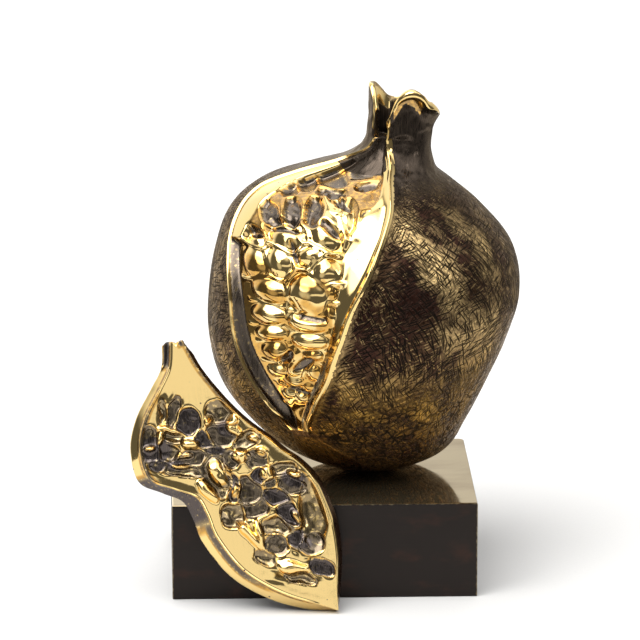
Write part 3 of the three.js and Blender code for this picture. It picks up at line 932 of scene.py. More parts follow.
@dataclass(frozen=True)
class CutFaces:
    """The opening cut into the fruit: the rind's cut face, the seeds in their bed, the smooth skin."""

    # Height, angle of the cut's left lip and of its right lip.
    lips: Table = (
        (0, -62, 0), (12, -48, -14), (24, -37, -26), (37, -43, -20), (50, -50.5, -14), (65, -57, -11),
        (80, -61.5, -7.5), (95, -69, 0.5), (107, -76, 10), (116, -87, 17), (122, -90, 14),
        (127.5, -82, -1), (131.5, -62, -15), (136, -54, -24),
    )  # fmt: skip
    # Height, width of the rind's cut face on the left, width of the smooth skin on the right.
    zones: Table = (
        (24, 3, 3), (34, 6.5, 3.5), (50, 7, 4), (61, 6, 3.8), (77, 4.8, 5.5), (88, 4.4, 9),
        (98, 5.5, 12.5), (102, 10.5, 13.5), (106, 12.5, 13.5), (110, 14.5, 13), (114, 15, 10.5),
        (118, 13, 5), (122, 8, 3), (128, 4, 3), (134, 2, 2),
    )  # fmt: skip
    # Seeds: sideways place, height, half width, half height, tilt, rise.
    seeds: Mounds = Mounds((
        (-16.9, 115.4, 3, 3, 0, 3), (-47.1, 101.4, 3.2, 3.2, 0, 3.2), (-29, 106, 3, 2.4, 0, 3),
        (-35.8, 104.5, 5.8, 4.7, 0, 4), (-20.6, 109.2, 6.6, 7.3, -8, 4.6),
        (-11.6, 112.8, 2.6, 4.3, -10, 3), (-47.8, 93.2, 5.1, 6.2, 0, 4.4),
        (-38.5, 95.5, 4.7, 6, 0, 4.4), (-26.2, 99.2, 5.8, 3.6, 20, 4.2),
        (-20.4, 94, 5.3, 5.6, -25, 4.2), (-42.8, 83.8, 7.1, 5.1, 0, 4.4),
        (-27.8, 84.5, 7.7, 7.9, 0, 4.8), (-43.5, 74.2, 6.4, 4.3, 0, 4.4),
        (-27.7, 73, 7.9, 4.1, 0, 4.2), (-42.2, 66.5, 6, 3.4, 4, 4.2), (-26.9, 65.2, 7.3, 3.6, 0, 4),
        (-40.5, 59.2, 5.3, 4.1, 8, 4.2), (-25.5, 59.5, 4.7, 2.8, 0, 3.4),
        (-33.1, 59, 2.8, 4.3, -20, 3), (-39.2, 50.5, 4.7, 2.8, -8, 3), (-33, 53, 3.2, 4.3, -35, 3.2),
        (-25.5, 51.5, 3.2, 3.6, 0, 3), (-33.3, 46.8, 4.3, 2.6, -10, 2.8),
        (-26.9, 45, 3.4, 2.8, 0, 2.6), (-35.2, 40.5, 3.2, 2.1, -25, 2.4),
        (-30.4, 38.5, 3.2, 2.1, 0, 2.2), (-18.5, 86.4, 2.6, 3.8, -8, 3), (-19, 76.5, 2.6, 5, 4, 3),
    ), roundness=0.7, swell=1.14)  # fmt: skip
    # Empty hollows between the seeds and in the sheet above them, in the same form with a depth.
    pockets: Mounds = Mounds((
        (-41, 110.8, 3.1, 3.2, 0, 2.2), (-32.4, 112.6, 2.9, 3.9, -8, 2.4),
        (-24.2, 113.4, 3, 4.3, -15, 2.4), (-47.4, 104.2, 2, 1.6, 0, 1.6),
        (-33.1, 118, 2.4, 1, 15, 1.8), (-26.6, 120.5, 3.2, 1.3, 8, 2), (-16.3, 122.8, 5, 1.4, 6, 2.2),
        (-17.2, 119.6, 4.2, 1.1, 0, 2), (-4.6, 125.2, 5, 1, 10, 1.8), (-2.6, 122, 3.4, 0.8, 8, 1.6),
        (-13.3, 117, 3.2, 1.1, -25, 2), (-18.7, 109, 4.1, 1.1, -35, 2.2),
        (-36.1, 57.2, 3.2, 1.3, 48, 2.2), (-29.2, 55.2, 3.9, 1.6, 40, 2.2),
        (-26.5, 75, 4.9, 1, -5, 1.6), (-3.1, 113.5, 2.2, 0.9, 5, 0.8),
        (-36.4, 106.8, 4.7, 0.8, 0, 1.6), (-32.4, 99.5, 0.8, 3.2, 10, 1.4),
        (-31.1, 42.5, 3.6, 1.1, -15, 1.4),
    ), squareness=2.4)  # fmt: skip
    bed_depth: float = 5.0
    neck_depth: float = 2.2
    # The seeds and pockets have slightly wandering outlines and uneven tops.
    sideways: Waves = Waves(5.0, 2.9, 0.5)
    upwards: Waves = Waves(5.0, 6.3, 0.5)
    uneven: Waves = Waves(5.5, 5.1, 0.35)
    least_rise: float = 1.0
    # Webs run midway between two seeds, and stand higher farther up the cut.
    web_rise: float = 1.6
    web_crest: Step = Step(0.4, 1.6)
    web_reach: Step = Step(1.2, 3.2)
    web_heights: Step = Step(72, 100)
    # The sheet above the seeds: its lower edge, which drops to the left, its fall, and its holes
    # where seeds stand through it.
    sheet_rise: float = 3.9
    sheet_low: float = 1.3
    sheet_edge: Step = Step(105, 109)
    sheet_slant: float = 0.35
    slant_start: float = -26.0
    slant_width: float = 12.0
    sheet_heights: Step = Step(109, 126)
    sheet_holes: Step = Step(0.1, 1.0)
    pocket_ridge: Step = Step(0.3, 0.78)
    pocket_wall: float = 0.5
    crumple: float = 0.8
    crumpled: Waves = Waves(1.5, 3.7)
    # Tarnish between the seeds and in the pockets. The amber on the sheet and in patches over the
    # seeds is painted reflection of gold in gold, and the sheet's right is darkened as painted shade.
    gap_level: float = 1.35
    gap_tarnish: float = 0.7
    pocket_tarnish: float = 0.95
    sheet_painted_reflection: float = 0.46
    sheet_painted_shade_right: Step = Step(-22, -10, 0.1)
    seed_painted_reflection: Step = Step(-0.3, 0.3, 0.3)
    seed_reflection_patches: Waves = Waves(6.0, 7.7)
    seed_reflection_clearing: Step = Step(85, 100, 0.4)
    # The cut fades out towards its lower tip.
    tip: Step = Step(22, 36)
    # Beside the cut: a bead on the left lip, and a ridge with a trough behind it on the right.
    lip_bead: Bell = Bell(0, 1, 0.25)
    ridge: Bell = Bell(0, 1.6, 1.2)
    trough: Bell = Bell(-6, 3.5, 0.9)
    # The rind's cut face: at most this share of the cut's width, sloping low down and flat above.
    # Below the flat land, its channel is painted dark as a painted reflection.
    rind_share: float = 0.6
    slope: Step = Step(0.1, 1, 3.0)
    land: Step = Step(0, 1.2, 0.8)
    flat_heights: Step = Step(98.5, 100.5)
    channel_painted_reflection: Step = Step(0.3, 1.0, 0.95)
    # The smooth skin on the right: its fall into the cut, by height, and where it covers the bed.
    skin_share: float = 0.35
    skin_least: float = 0.1
    skin_edge: float = 0.9
    fall_low: float = 2.4
    fall_high: float = 4.0
    fall_top: float = 1.1
    fall_power: float = 1.3
    fall_heights: Step = Step(78, 104)
    top_heights: Step = Step(101, 109)
    covering: Band = Band(99, 103, 115, 119)
    skin_tarnish: Step = Step(84, 50, 0.85)
    # The neck's part of the cut is shallow and dark, and all of the cut has bright lips.
    shallow_heights: Step = Step(122, 132)
    dark_heights: Step = Step(126.5, 130)
    bright_left: Bell = Bell(0, 0.6)
    bright_right: Bell = Bell(0, 1.5)
    brightness: float = 1.6

    def lip_angles(self, heights: Array) -> list[Array]:
        """Give the angles of the left and the right lip in radians."""
        return [np.radians(lip) for lip in smooth_columns(self.lips, heights)]

    def seed_relief(self, x: Array, height: Array) -> tuple[Array, Array]:
        """Shape the seeds, their webs and the sheet above them.

        Args:
            x: sideways places.
            height: heights.

        Returns:
            Height over the bed, and tarnish, with painted reflection and painted shade in it.
        """
        place = np.stack([x, height, np.zeros_like(x)], axis=-1)
        x = x + self.sideways.at(place)
        height = height + self.upwards.at(place)
        rise = self.seeds.rise(x, height)
        _, beyond, farther = self.seeds.nearest(x, height)
        crest = self.web_crest.before(farther) * self.web_reach.before(beyond)
        web = crest * lerp(self.web_rise, self.sheet_rise, self.web_heights.at(height))
        slant = self.sheet_slant * np.clip(self.slant_start - x, 0, self.slant_width)
        around_sheet = self.sheet_edge.at(height + slant)
        falling = lerp(self.sheet_rise, self.sheet_low, self.sheet_heights.at(height))
        sheet = falling * around_sheet * self.sheet_holes.at(beyond)
        swollen = rise + self.uneven.at(place) * np.clip(rise, 0, 1)
        surface = np.maximum.reduce([swollen, web, sheet, np.full_like(x, self.least_rise)])
        drop, floors = self.pockets.cells(x, height, self.pocket_ridge, self.pocket_wall)
        drop = drop - self.crumple * floors * self.crumpled.at(place)
        gaps = np.clip(self.gap_level - surface, 0, 1) * self.gap_tarnish * (1 - around_sheet)
        # Painted reflection: amber on the sheet and in patches over the seeds. Painted shade: the sheet's
        # darker right.
        film = (self.sheet_painted_reflection + self.sheet_painted_shade_right.at(x)) * around_sheet * (sheet > swollen)
        seed_reflection = self.seed_painted_reflection.at(self.seed_reflection_patches.at(place) - self.seed_reflection_clearing.at(height))
        return surface - drop, np.maximum.reduce([gaps, self.pocket_tarnish * floors, film, seed_reflection])

    def relief(
        self, at: SkinPlaces, seed_rise: Array, seed_tarnish: Array
    ) -> tuple[Array, Array, Array]:
        """Find how far the surface lies below the uncut skin, and how tarnished it is.

        Args:
            at: the points' places.
            seed_rise: height of the seeds over the bed.
            seed_tarnish: tarnish of the seeds.

        Returns:
            Depth, tarnish with painted reflection and painted shade in it, and the fade towards the tip,
            one value for each point.
        """
        height, from_left, from_right = at.height, at.from_left, at.from_right
        inside = (from_left > 0) & (from_right > 0)
        fade = self.tip.at(height)
        beside = self.lip_bead.at(from_left) + self.ridge.at(from_right)
        rind_width, skin_width = smooth_columns(self.zones, height)
        width = from_left + from_right
        rind = np.minimum(rind_width, self.rind_share * width)
        skin = np.minimum(skin_width, self.skin_share * width)
        # The rind's cut face.
        flat = self.flat_heights.at(height)
        slope = np.minimum(from_left, 1) + self.slope.at(from_left / rind)
        rind_face = lerp(slope, self.land.at(from_left), flat)
        on_rind = inside & (from_left < rind)
        seeded = self.bed_depth - seed_rise
        depth = np.where(on_rind, np.minimum(seeded, rind_face), seeded)
        gaps = np.where(on_rind & (depth >= rind_face), 0.0, seed_tarnish)
        # The smooth skin.
        toward = np.clip(from_right, 0, None)
        fall = lerp(self.fall_low, self.fall_high, self.fall_heights.at(height))
        fall = lerp(fall, self.fall_top, self.top_heights.at(height))
        skin_fall = fall * (toward / np.maximum(skin, self.skin_least)) ** self.fall_power
        skin_face = self.skin_edge * np.minimum(toward, 1) + skin_fall
        on_skin = inside & (from_right < skin)
        covered = lerp(np.minimum(depth, skin_face), skin_face, self.covering.at(height))
        depth = np.where(on_skin, covered, depth)
        limit = lerp(self.bed_depth, self.neck_depth, self.shallow_heights.at(height))
        depth = np.where(inside, np.minimum(depth, limit), self.trough.at(from_right)) - beside
        gaps = np.where(on_skin, self.skin_tarnish.at(height), gaps)
        # The channel below the land is painted dark: a painted reflection.
        channel = self.channel_painted_reflection.at(from_left) * (1 - flat)
        gaps = np.where(on_rind & (rind_face <= seeded), channel, gaps)
        lines = self.bright_left.at(from_left) + self.bright_right.at(from_right)
        dulled = 1 - np.clip(self.brightness * lines, 0, 1)
        tarnish = np.clip(np.maximum(gaps, self.dark_heights.at(height)) * dulled, 0, 1)
        return fade * depth, tarnish * inside, fade


@dataclass(frozen=True)
class Crown:
    """The crown of sepals on the neck: its outer wall, its rim and the inside of its wall.

    A share of its height is 0 at the collar and 1 where the wall would end without a rim.
    """

    collar: float
    neck_radius: float
    neck_drift: float
    # Angles of the left and the right side of the notch in degrees, and the notch's depth.
    notch: Pair
    notch_depth: float
    ridge_rise: float
    allowance: float
    # The crown's rim: angle, height, radius, how far the sepal there curls over.
    rim: Table = (
        (-175, 147.5, 14.5, 0), (-158, 149, 14.5, 0), (-140, 153, 14.5, 0), (-122, 156, 14.5, 0),
        (-98, 156.9, 14, 0), (-82, 156.5, 13.5, 0), (-66, 153, 13.5, 0), (-52, 147, 13.5, 0),
        (-26, 144, 14.5, 0), (-14, 150.3, 16.5, 0.5), (-2, 153.3, 19, 1), (11, 154.3, 20, 1),
        (22, 152.8, 20, 0.9), (31, 150.5, 19.5, 0.6), (40, 150, 19, 0.3), (52, 148, 18, 0.2),
        (66, 145.5, 16.5, 0), (84, 144.5, 15.8, 0), (100, 145, 15.5, 0), (118, 144, 15, 0),
        (140, 146.5, 15, 0), (160, 149, 15, 0), (185, 147.5, 14.5, 0),
    )  # fmt: skip
    drift: float = 0.08
    rows: int = 26
    notch_height: float = 138.0
    notch_side: float = 0.03
    spread_power: float = 2.0
    curled_power: float = 3.0
    curl_turn: float = 1.85
    slope_step: float = 0.02
    wall_at_neck: float = 3.6
    wall_at_rim: float = 2.0
    rim_share: float = 0.955
    # A bead under the rim in front, and the ridge that runs up from the cut's right lip.
    bead_rise: float = 1.3
    bead_width: float = 0.09
    bead_reach: Band = Band(-40, -20, 45, 70)
    ridge: Bell = Bell(-24, 6)
    dent_depth: float = 0.5
    dents: Waves = Waves(6.5, 3.3)
    dents_fade: float = 0.8
    # The rim's turn from the outer wall to the inner one, in shares of the wall.
    rim_turns: tuple[float, ...] = (0.06, 0.2, 0.4, 0.6, 0.8, 0.94)
    rim_bulge: float = 0.5
    notch_edge: float = 0.02
    bare_turn: float = 0.25
    # Bare metal outside: the curled front sepal, the cut's two edges and the lip.
    front: Band = Band(-18, -12, 26, 33)
    front_start: float = 0.42
    front_dip: Bell = Bell(1, 8, 0.06)
    front_edge: float = 0.03
    bare_ridge: Bell = Bell(-26, 6.5)
    bare_side: Bell = Bell(-58, 4)
    side_start: Step = Step(0.1, 0.4)
    lip: Step = Step(0.9, 0.96)
    # The amber tarnish low on the curled front sepal is painted shade on its curled-under face.
    tarnish: Step = Step(0.62, 0.7, 0.6)
    # Bare metal inside: the hood of the front sepal, a patch behind and the wall near the rim.
    hood: Band = Band(-24, -18, 30, 36)
    hood_start: float = 0.6
    patch: Band = Band(-165, -155, -100, -90)
    patch_shares: Pair = (0.5, 0.9)
    rubbed_inside: Step = Step(0.55, 0.95, 0.8)
    unrolled_height: float = 40.0

    def outline(self, angles: Array, share: float) -> tuple[Array, Array, Array]:
        """Give the outer wall at a share of its height.

        Args:
            angles: where to read it, in radians.
            share: share of the height.

        Returns:
            Radius, height, and 1 in the notch and 0 beside it.
        """
        wrapped = (angles + np.pi) % (2 * np.pi) - np.pi
        left, right = np.radians(self.notch)
        in_notch = Band(left, left + self.notch_side, right - self.notch_side, right).at(wrapped)
        degrees = np.degrees(wrapped)
        degrees = np.where(degrees < self.rim[0][0], degrees + 360, degrees)
        rim_height, rim_radius, curl = smooth_columns(self.rim, degrees)
        spread = share ** lerp(self.spread_power, self.curled_power, curl)
        climb = lerp(share, math.sin(self.curl_turn * share) / math.sin(self.curl_turn), curl)
        radius = lerp(self.neck_radius, lerp(rim_radius, self.neck_radius, in_notch), spread)
        height = lerp(self.collar, lerp(rim_height, self.notch_height, in_notch), climb)
        return radius, height, in_notch

    def outer_inset(self, angles: Array, share: float) -> Array:
        """Give how far the outer wall lies inside its outline, with its bead, ridge and dents.

        Args:
            angles: the ring's angles in radians.
            share: share of the height.

        Returns:
            The distance, which is negative where the wall stands out.
        """
        radius, height, in_notch = self.outline(angles, share)
        degrees = wrapped_degrees(angles)
        bead_share = math.exp(-(((self.rim_share - share) / self.bead_width) ** 2))
        bead = self.bead_rise * self.bead_reach.at(degrees) * bead_share
        ridge = self.ridge_rise * self.ridge.at(degrees) * (1 - share) ** 2
        middle = np.stack([radius * np.sin(angles), -radius * np.cos(angles), height], axis=-1)
        dented = math.sin(math.pi * min(share / self.dents_fade, 1))
        hammered = self.dent_depth * self.dents.at(middle) * dented
        return self.notch_depth * in_notch - bead - ridge + self.allowance + np.abs(hammered)

    def ring(self, angles: Array, share: float, inner: bool) -> tuple[Array, Array]:
        """Give one ring of the wall.

        Args:
            angles: the ring's angles in radians.
            share: share of the height.
            inner: whether it is the inside of the wall.

        Returns:
            The ring's points, and the way up along the wall at each.
        """
        radius, height, _ = self.outline(angles, share)
        above = self.outline(angles, share + self.slope_step)
        below = self.outline(angles, max(share - self.slope_step, 0))
        climb, spread = above[1] - below[1], above[0] - below[0]
        length = np.hypot(climb, spread)
        thickness = lerp(self.wall_at_neck, self.wall_at_rim, share)
        wall = thickness if inner else self.outer_inset(angles, share)
        reach = radius - wall * climb / length
        top = height + wall * spread / length
        drift = self.neck_drift + self.drift * (height - self.collar)
        points = np.stack([drift + reach * np.sin(angles), -reach * np.cos(angles), top], axis=-1)
        way = np.stack([spread * np.sin(angles), -spread * np.cos(angles), climb], axis=-1)
        return points, way / length[:, None]

    def outer_marks(self, angles: Array, share: float, plain: Marks) -> Marks:
        """Mark the outer wall: the curled front sepal and the cut's edges are bare.

        Args:
            angles: the ring's angles in radians.
            share: share of the height.
            plain: the marks of the dark metal inside.

        Returns:
            The marks of one ring.
        """
        degrees = wrapped_degrees(angles)
        start = self.front_start + self.front_dip.at(degrees)
        curled = self.front.at(degrees) * Step(start, start + self.front_edge).at(share)
        ridge = self.bare_ridge.at(degrees)
        side = self.bare_side.at(degrees) * self.side_start.at(share)
        lip = np.full_like(degrees, self.lip.at(share))
        bare = np.maximum.reduce([curled, ridge, side, lip])
        # Amber on the lower part of the curled front sepal: painted shade.
        dull = self.tarnish.before(share) * (1 - np.maximum(ridge, side))
        up = plain[Mark.UP] + self.unrolled_height * share
        return {**self.bared(plain, bare, bare), Mark.TARNISH: dull, Mark.UP: up}

    def add_to(self, grid: SkinGrid, angles: Array, plain: Marks) -> None:
        """Add the outer wall, the rim and the inside of the wall down to the collar.

        Args:
            grid: the casting's rows so far.
            angles: the columns' angles in radians.
            plain: the marks of the dark metal inside.
        """
        shares = np.linspace(0, self.rim_share, self.rows)
        for share in shares[1:]:
            ring, _ = self.ring(angles, share, inner=False)
            grid.add(ring[None], self.outer_marks(angles, share, plain))
        outer, way = self.ring(angles, self.rim_share, inner=False)
        inner, _ = self.ring(angles, self.rim_share, inner=True)
        _, _, in_notch = self.outline(angles, self.rim_share)
        edge = (in_notch > self.notch_edge) * 1.0
        for turn in self.rim_turns:
            bulge = self.rim_bulge * math.sin(math.pi * turn)
            thin = 1 - edge * (turn > self.bare_turn)
            grid.add((lerp(outer, inner, turn) + bulge * way)[None], self.bared(plain, thin, thin))
        degrees = wrapped_degrees(angles)
        for share in shares[::-2]:
            ring, _ = self.ring(angles, share, inner=True)
            near_rim = self.rubbed_inside.at(share) * (1 - edge)
            patch = self.patch.at(degrees) * float(self.patch_shares[0] < share < self.patch_shares[1])
            hood = self.hood.at(degrees) * float(share > self.hood_start)
            polish = np.maximum(patch, hood)
            grid.add(ring[None], self.bared(plain, polish, np.maximum(near_rim, patch)))

    @staticmethod
    def bared(plain: Marks, polish: Array, worn: Array) -> Marks:
        """Give marks without tarnish, with new polish and wear."""
        bare = {Mark.POLISH: polish, Mark.TARNISH: 0.0, Mark.RUBBING_AND_HIGHLIGHT: worn, Mark.SHADE: 1 - worn}
        return {**plain, **bare}


@dataclass(frozen=True)
class FruitCasting:
    """The opened fruit: skin, cut faces, seeds, neck and crown, in one hollow casting.

    Heights are above the fruit's foot, and angles turn about its axis from the front.
    """

    level: float
    # Where the axis stands on the block.
    place: Pair = (20.5, 10.0)
    cut: CutFaces = CutFaces()
    # Height, radius, sideways drift of the centre.
    body: Table = (
        (0, 9, 0), (2, 18.5, -0.5), (9, 32.5, -1.5), (21, 43.5, -5), (37, 53.5, -7), (55, 60, -5.5),
        (73, 62.5, -3), (91, 59.5, -3), (106, 50.5, -6), (116, 39, -6), (121.5, 28, -1.5),
        (126, 19.5, 5), (130.5, 14.8, 8.8), (134, 13.4, 10.3), (136, 13.2, 10.8),
    )  # fmt: skip
    # Height, radius, sideways drift of the hollow inside.
    hollow: Table = (
        (19, 11, 0), (23, 24, -1.5), (32, 38, -3), (48, 49, -2.5), (68, 53.5, -0.5), (85, 52.5, -0.5),
        (104, 43, -2.5), (116, 25, -1.5), (122, 13, 3.5), (129, 9.5, 8), (136, 9.6, 10.8),
    )  # fmt: skip
    # Where cloth has rubbed the skin, and where highlights and reflections of the floor and block
    # are painted on as rubbed gold: angle, height, half width, half height, tilt, amount.
    rubbed_and_highlit: Mounds = Mounds((
        (27, 94, 9, 25, 19, 1.0), (53, 95, 7, 17, 8, 0.75), (22, 110, 12, 8, 0, 0.6),
        (48, 60, 13, 24, 12, 0.55), (31, 33, 9, 7, 0, 0.75), (2, 33, 12, 6, 0, 0.6),
        (-14, 27, 9, 6, 0, 0.5), (14, 44, 24, 9, 0, 0.32), (-5, 48, 6, 10, 0, 0.9),
        (52, 36, 12, 10, 0, 0.3), (34, 70, 9, 12, 0, 0.35), (-24, 15, 20, 7, 0, 0.3),
        (-74, 86, 8, 10, 0, 0.35), (-62, 40, 8, 16, 0, 0.4), (-70, 50, 5, 6, 0, 0.7),
        (150, 95, 16, 16, 20, 0.6), (-150, 60, 16, 22, 0, 0.55), (110, 40, 16, 16, 0, 0.5),
        (-120, 100, 12, 12, 0, 0.6), (100, 88, 12, 18, 0, 0.5), (172, 40, 18, 10, 0, 0.5),
    ), roundness=0.8)  # fmt: skip
    # Where the skin is darker, in patches and low round the foot, in the same form.
    shaded: Mounds = Mounds((
        (9, 74, 17, 28, -6, 0.8), (12, 94, 10, 12, 10, 0.7), (38, 119, 22, 5, 0, 0.6),
        (60, 80, 6, 18, 0, 0.5), (42, 84, 6, 14, 12, 0.5), (43, 106, 5, 10, 10, 0.5),
        (30, 10, 60, 11, 0, 0.9), (-70, 70, 8, 26, 0, 0.35), (150, 60, 24, 26, 0, 0.5),
        (-140, 30, 30, 12, 0, 0.6), (95, 60, 14, 18, 0, 0.4), (-110, 75, 12, 20, 0, 0.4),
        (-175, 108, 24, 8, 0, 0.5),
    ), roundness=1.2)  # fmt: skip
    collar: float = 136.0
    facets: int = 6
    facet_swing: float = 0.008
    seed_level: float = 2.0
    seed_drop: float = 0.6
    smoothing: int = 5
    smoothed_inset: Pair = (1.5, 2.5)
    smoothed_heights: Pair = (30, 128)
    slope_step: float = 0.5
    allowance: float = 0.12
    unrolled_radius: float = 55.0
    # Rows, which lie farther apart under the cut, and columns, which crowd towards the lips.
    profile_steps: int = 4000
    body_rows: int = 372
    foot_share: float = 0.45
    crowding: Step = Step(18, 30)
    window_columns: int = 130
    window_crowding: float = 0.5
    ridge_columns: int = 14
    ridge_crowding: float = 1.3
    ridge_width: float = 6.0
    ridge_most: float = 0.6
    back_columns: int = 78
    back_crowding: float = 0.6
    lip_gap: float = 0.4
    lip_gap_most: float = 0.02
    # Polish reaches past the lips by a ragged width, ends at the tip and leaves the inner neck.
    ragged: Waves = Waves(1.2, 9.1)
    bare_left: float = 0.35
    ragged_left: float = 0.2
    bare_right: Pair = (1.7, 2.1)
    ragged_right: float = 0.6
    bare_heights: Step = Step(112, 124)
    least_fade: float = 0.12
    neck_start: float = 126.0
    neck_inset: Pair = (1.0, 1.4)
    # The worn places, with their painted highlights and reflections, and the dark places have
    # wandering outlines, and end at the neck.
    wander_around: tuple[Waves, ...] = (Waves(13.0, 4.4, 5), Waves(5.0, 1.8, 2.5))
    wander_up: tuple[Waves, ...] = (Waves(13.0, 8.1, 4), Waves(5.0, 6.6, 2))
    worn_lip: Bell = Bell(-2.6, 1.2, 0.5)
    worn_heights: Step = Step(112, 120)
    worn_raggedly: float = 0.5
    scored_heights: Step = Step(114, 124)
    scored_outside: Step = Step(1.5, 4)
    neck_heights: Step = Step(112, 122)
    # The screw hole and the hollow.
    hole_radius: float = 3.2
    hole_depth: float = 15.0
    hollow_rows: int = 18
    hollow_back_shift: Step = Step(110, 130, 3.5)
    evened_rows: int = 5
    inner_tarnish: float = 0.6
    inner_shade: float = 0.9

    def row_heights(self) -> Array:
        """Place the body's rows: evenly along its profile, and farther apart under the cut.

        Returns:
            One height a row, in ascending order.
        """
        heights = np.linspace(0, self.collar, self.profile_steps)
        (radius, _) = smooth_columns(self.body, heights)
        crowding = lerp(self.foot_share, 1.0, self.crowding.at(heights[1:]))
        travelled = np.append(0, np.cumsum(np.hypot(np.diff(radius), np.diff(heights)) * crowding))
        return np.interp(np.linspace(0, travelled[-1], self.body_rows), travelled, heights)

    def column_angles(self, heights: Array, radius: Array) -> Array:
        """Give the columns in each row: they follow the lips and crowd towards them.

        Args:
            heights: one height a row.
            radius: one radius a row.

        Returns:
            Angles in radians, shaped (rows, columns).
        """
        left, right = self.cut.lip_angles(heights)
        window = np.linspace(0, 1, self.window_columns, endpoint=False)
        window = lerp(window, Step(0, 1).at(window), self.window_crowding)
        ridge_span = np.minimum(self.ridge_width / radius, self.ridge_most)
        ridge = np.linspace(0, 1, self.ridge_columns, endpoint=False) ** self.ridge_crowding
        rest = np.linspace(0, 1, self.back_columns)
        rest = lerp(rest, Step(0, 1).at(rest), self.back_crowding)
        gap = np.minimum(self.lip_gap / radius, self.lip_gap_most)
        start, end = right + ridge_span, left + 2 * np.pi - gap
        return np.concatenate(
            [
                lerp(left[:, None], right[:, None], window),
                right[:, None] + ridge_span[:, None] * ridge,
                lerp(start[:, None], end[:, None], rest),
            ],
            axis=1,
        )

    def body_points(self) -> tuple[Array, Marks]:
        """Build the outer surface from the foot to the collar.

        Returns:
            Its points, shaped (rows, columns, 3), and its marks.
        """
        heights = self.row_heights()
        radius, drift = smooth_columns(self.body, heights)
        higher, lower = (
            np.clip(heights + step, 0, self.collar) for step in (self.slope_step, -self.slope_step)
        )
        (above, _), (below, _) = (smooth_columns(self.body, level) for level in (higher, lower))
        climb = higher - lower
        length = np.hypot(climb, above - below)
        outward, upward = (climb / length)[:, None], ((below - above) / length)[:, None]
        angles = self.column_angles(heights, radius)
        left, right = (lip[:, None] for lip in self.cut.lip_angles(heights))
        swing = self.facet_swing * np.sin(np.pi * heights / self.collar)
        full = radius[:, None] * (1 + swing[:, None] * np.cos(self.facets * angles)) - self.allowance
        around = np.where(angles > np.pi, angles - 2 * np.pi, angles)
        tall = np.broadcast_to(heights[:, None], angles.shape)
        x = drift[:, None] + full * np.sin(angles)
        at = SkinPlaces(
            angle=angles,
            around=np.degrees(around),
            height=tall,
            from_left=(around - left) * radius[:, None],
            from_right=(right - angles) * radius[:, None],
            place=np.stack([x, -full * np.cos(angles), tall], axis=-1),
        )
        # The seeds were laid out at the depth where they lie, so their places are read there.
        sunk_x = x - self.seed_level * outward * np.sin(angles)
        sunk_height = tall - self.seed_drop * self.seed_level * upward
        depth, tarnish, fade = self.cut.relief(at, *self.cut.seed_relief(sunk_x, sunk_height))
        lowest, highest = self.smoothed_heights
        seeded = (at.from_left > self.smoothed_inset[0]) & (at.from_right > self.smoothed_inset[1])
        seeded = seeded & (tall > lowest) & (tall < highest)
        depth = np.where(seeded, softened(depth, self.smoothing), depth)
        reach = full - depth * outward
        z = tall - depth * upward
        points = np.stack([drift[:, None] + reach * np.sin(angles), -reach * np.cos(angles), z], axis=-1)
        marks = self.skin_marks(at, fade)
        unrolled = self.unrolled_heights(heights, radius)[:, None]
        return points, {**marks, Mark.TARNISH: tarnish, Mark.UP: np.broadcast_to(unrolled, angles.shape)}

    def skin_marks(self, at: SkinPlaces, fade: Array) -> Marks:
        """Find where the body is polished, scored, rubbed and dark.

        Args:
            at: the points' places.
            fade: how far the cut has faded out towards its tip, 1 where it has not.

        Returns:
            The marks that do not come from the cut's relief.
        """
        ragged = self.ragged.at(at.place)
        bare_right = lerp(*self.bare_right, self.bare_heights.at(at.height))
        polish = at.from_left > -self.bare_left + self.ragged_left * ragged
        polish = polish & (at.from_right > -bare_right + self.ragged_right * ragged)
        neck = (at.from_left > self.neck_inset[0]) & (at.from_right > self.neck_inset[1])
        polish = polish & (fade > self.least_fade) & ~(neck & (at.height > self.neck_start))
        around = at.around + sum(waves.at(at.place) for waves in self.wander_around)
        level = at.height + sum(waves.at(at.place) for waves in self.wander_up)
        lip_wear = self.worn_lip.at(at.from_right) * (1 - polish) * fade
        # This rubbing also carries painted highlights and painted reflections, drawn as rubbed gold.
        rubbing_and_highlight = self.rubbed_and_highlit.rise(around, level) + lip_wear
        rubbing_and_highlight = rubbing_and_highlight * self.worn_heights.before(at.height) * (1 + self.worn_raggedly * ragged)
        outside = self.scored_outside.at(-np.minimum(at.from_left, at.from_right))
        on_neck = self.neck_heights.at(at.height)
        return {
            Mark.POLISH: polish.astype(float),
            Mark.SCORING: self.scored_heights.before(at.height) * outside,
            Mark.RUBBING_AND_HIGHLIGHT: np.clip(rubbing_and_highlight, 0, 1),
            Mark.SHADE: np.clip(np.maximum(self.shaded.rise(around, level), on_neck), 0, 1),
            Mark.SMOOTH: on_neck,
            Mark.AROUND: at.angle * self.unrolled_radius,
        }

    def unrolled_heights(self, heights: Array, radius: Array) -> Array:
        """Give heights on the unrolled skin, stretched where the fruit is narrow to keep angles."""
        steps = np.hypot(np.diff(heights), np.diff(radius)) * self.unrolled_radius
        return np.append(0, np.cumsum(2 * steps / (radius[1:] + radius[:-1])))

